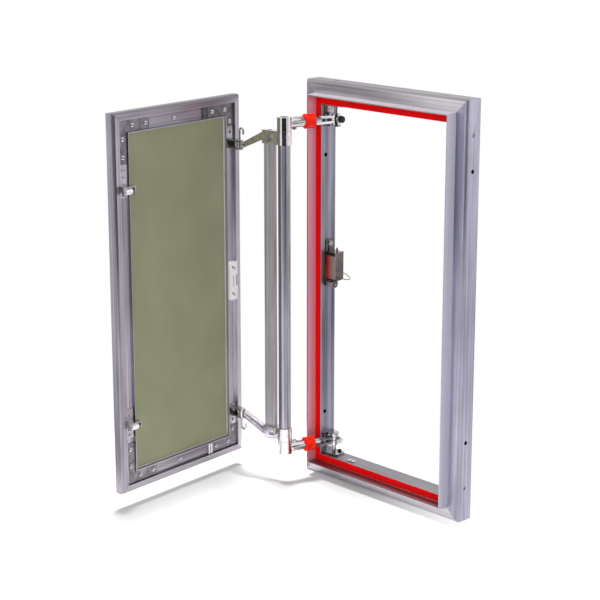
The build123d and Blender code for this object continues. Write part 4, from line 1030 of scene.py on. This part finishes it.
# %% Clamp bolts
arm_levels = (("top", 0.5445), ("bottom", 0.0555))
boss_turn = math.radians(111.4)
bolt_way = level_direction(frame_arm_turn + boss_turn)
boss_reach = 0.0071
washer_profile = [(0, 0), (0.0054, 0), (0.00575, 0.0002), (0.00575, 0.0005), (0.0052, 0.0006),
                  (0.0048, 0.0006), (0.0048, 0.0012), (0, 0.0012)]
head_profile = [(0, 0.0012), (0.0050, 0.0012), (0.0052, 0.0015), (0.0052, 0.0056),
                (0.0047, 0.0061), (0.0040, 0.0062), (0, 0.0062)]
hexagon = (0.0045, 6)
for name, level in arm_levels:
    seat = frame_pin + np.array([0, 0, level]) + boss_reach * bolt_way
    washers = turned("bolt_washers_" + name, washer_profile, [seat], bolt_way)
    head = turned("bolt_head_" + name, head_profile, [seat], bolt_way, columns=48, sides=hexagon)
    settle(washers, ["arm_clamp_bolts"], satin_plating)
    settle(head, ["arm_clamp_bolts"], blackened if name == "top" else bright_plating)
    print("bolt", name, "at", seat.round(4))

# %% [markdown]
# ## Sleeves
# A soft red sleeve is pushed over each arm as a bumper. A plain tube would look like a cut pipe. Its
# ends are rounded and its middle is a little narrower, so it is a turned profile on the arm's own
# direction.

# %% Sleeves
arm_way = level_direction(frame_arm_turn)
sleeve_long = 0.0165
sleeve_bore, sleeve_edge = 0.0076, 0.0090
sleeve_radius, sleeve_waist = 0.0106, 0.0004
end_share = 0.08
along = np.linspace(0, 1, 13)
barrel = sleeve_radius + sleeve_waist * np.cos(2 * math.pi * along)
from_end = np.clip(np.minimum(along, 1 - along) / end_share, 0, 1)
outer = sleeve_edge + (barrel - sleeve_edge) * np.sqrt(1 - (1 - from_end) ** 2)
reach = sleeve_long * (along - 0.5)
sleeve_profile = [(sleeve_bore, reach[0]), *zip(outer, reach), (sleeve_bore, reach[-1]),
                  (sleeve_bore, reach[0])]
for name in ("top", "bottom"):
    low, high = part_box("arm_sleeve_" + name)
    middle = (np.array(low) + np.array(high)) / 2
    sleeve = turned("bumper_sleeve_" + name, sleeve_profile, [middle], arm_way, columns=40)
    settle(sleeve, ["arm_sleeve_" + name], sleeve_plastic)
    print("sleeve", name, middle.round(4))

# %% [markdown]
# ## Giving each piece its finish
# A node's finish is put into its material slots. Its mesh stays as it is. The list could be by
# piece. It is by finish, so that it can be read against the real panel: which pieces are plated, and
# which are bare.

# %% Give the finishes
finish_of = {}


def give_finish(material, *node_names):
    """Put one material into every slot of some nodes and remember it for each of them."""
    for node_name in node_names:
        node = nodes[node_name]
        if not node.material_slots:
            node.data.materials.append(material)
        for slot_row in node.material_slots:
            slot_row.material = material
        finish_of[node_name] = material


give_finish(upright_aluminium, "frame_free_stile", "frame_corner_cleats")
give_finish(shaded_hinge_side_aluminium, "frame_hinge_stile")
give_finish(top_aluminium, "frame_top_rail")
give_finish(rail_aluminium, "frame_bottom_rail")
give_finish(leaf_upright_aluminium, "door_free_stile")
give_finish(lit_hinge_rim_aluminium, "door_hinge_stile")
give_finish(leaf_rail_aluminium, "door_top_rail", "door_bottom_rail")
give_finish(post_aluminium, "elbow_post")
give_finish(bar_aluminium, "brace_bar")
give_finish(seal_rubber, "seal_top", "seal_bottom", "seal_hinge_side", "seal_free_side")
give_finish(sleeve_plastic, "arm_sleeve_top", "arm_sleeve_bottom")
give_finish(white_moulding, "striker_block", "guide_roller_top", "guide_roller_bottom")
give_finish(bead_of_adhesive, "door_board_bond")
give_finish(gypsum_paper, "door_board")
give_finish(arm_plating_painted_stripes, "frame_arm_top", "frame_arm_bottom")
give_finish(bright_plating, "latch_wire_loop", "latch_screws", "rail_clip", "latch_axle",
            "latch_roller", "frame_hinge_pin_top", "frame_hinge_pin_bottom", "arm_grub_screws",
            "brace_bar_screws", "door_rivets", "channel_clips", "door_hinge_pin_top",
            "door_hinge_pin_bottom", "striker_screws", "guide_axles", "guide_screws")
give_finish(satin_plating, "frame_bracket_top", "frame_bracket_bottom", "door_bracket_top",
            "door_bracket_bottom")
give_finish(cast_zinc, "door_arm_top", "door_arm_bottom")
give_finish(dull_zinc, "corner_plate_1", "corner_plate_2", "corner_plate_3", "corner_plate_4")
give_finish(latch_case, "latch_housing")
give_finish(latch_sheet, "latch_plate", "latch_yoke", "latch_spring")
give_finish(bright_sheet, "guide_bracket_top", "guide_bracket_bottom")
give_finish(blackened, "frame_bracket_screws", "arm_clamp_bolts")
print("nodes without a finish:", sorted(set(nodes) - set(finish_of)))

# %% [markdown]
# ## Rounded edges on the rigid parts
# Every real bar, casting and punched sheet has a slightly broken edge that catches a thin line of
# light. The modelled solids are perfectly sharp, and a bevel can't work on their loose triangles.
# Each rigid node gets a copy whose triangles are merged and whose sharp edges get a narrow bevel.
# The copy takes the node's place in the picture.

# %% Softened copies take the places of the sharp nodes
merge_gap = 2e-6
flat_turn = math.radians(0.6)
sharp_turn = math.radians(32)
bevel_turn = math.radians(34)
drawn_edge = 0.0003
cast_edge = 0.0005
edge_widths = {
    drawn_edge: ["frame_hinge_stile", "frame_free_stile", "frame_top_rail", "frame_bottom_rail",
                 "door_hinge_stile", "door_free_stile", "door_top_rail", "door_bottom_rail",
                 "elbow_post", "brace_bar", "channel_clips", "latch_yoke", "guide_bracket_top",
                 "guide_bracket_bottom"],
    cast_edge: ["frame_arm_top", "frame_arm_bottom", "door_arm_top", "door_arm_bottom",
                "frame_bracket_top", "frame_bracket_bottom", "door_bracket_top",
                "door_bracket_bottom", "corner_plate_1", "corner_plate_2", "corner_plate_3",
                "corner_plate_4", "striker_block", "latch_plate", "latch_housing", "rail_clip",
                "guide_roller_top", "guide_roller_bottom"],
}


def softened(node_name, width):
    """A copy of a node with merged corners, flat faces joined and edges rounded to a width."""
    mesh = nodes[node_name].data.copy()
    shape = bmesh.new()
    shape.from_mesh(mesh)
    bmesh.ops.remove_doubles(shape, verts=shape.verts, dist=merge_gap)
    bmesh.ops.dissolve_limit(shape, angle_limit=flat_turn, verts=shape.verts, edges=shape.edges)
    shape.to_mesh(mesh)
    shape.free()
    piece = shaded_piece(node_name + "_soft", mesh, sharp_turn)
    bevel = piece.modifiers.new("edge", "BEVEL")
    bevel.width = width
    bevel.segments = 2
    bevel.limit_method = "ANGLE"
    bevel.angle_limit = bevel_turn
    bevel.harden_normals = True
    settle(piece, [node_name], finish_of[node_name])


for width, node_names in edge_widths.items():
    for node_name in node_names:
        softened(node_name, width)
print("softened", sum(len(node_names) for node_names in edge_widths.values()))
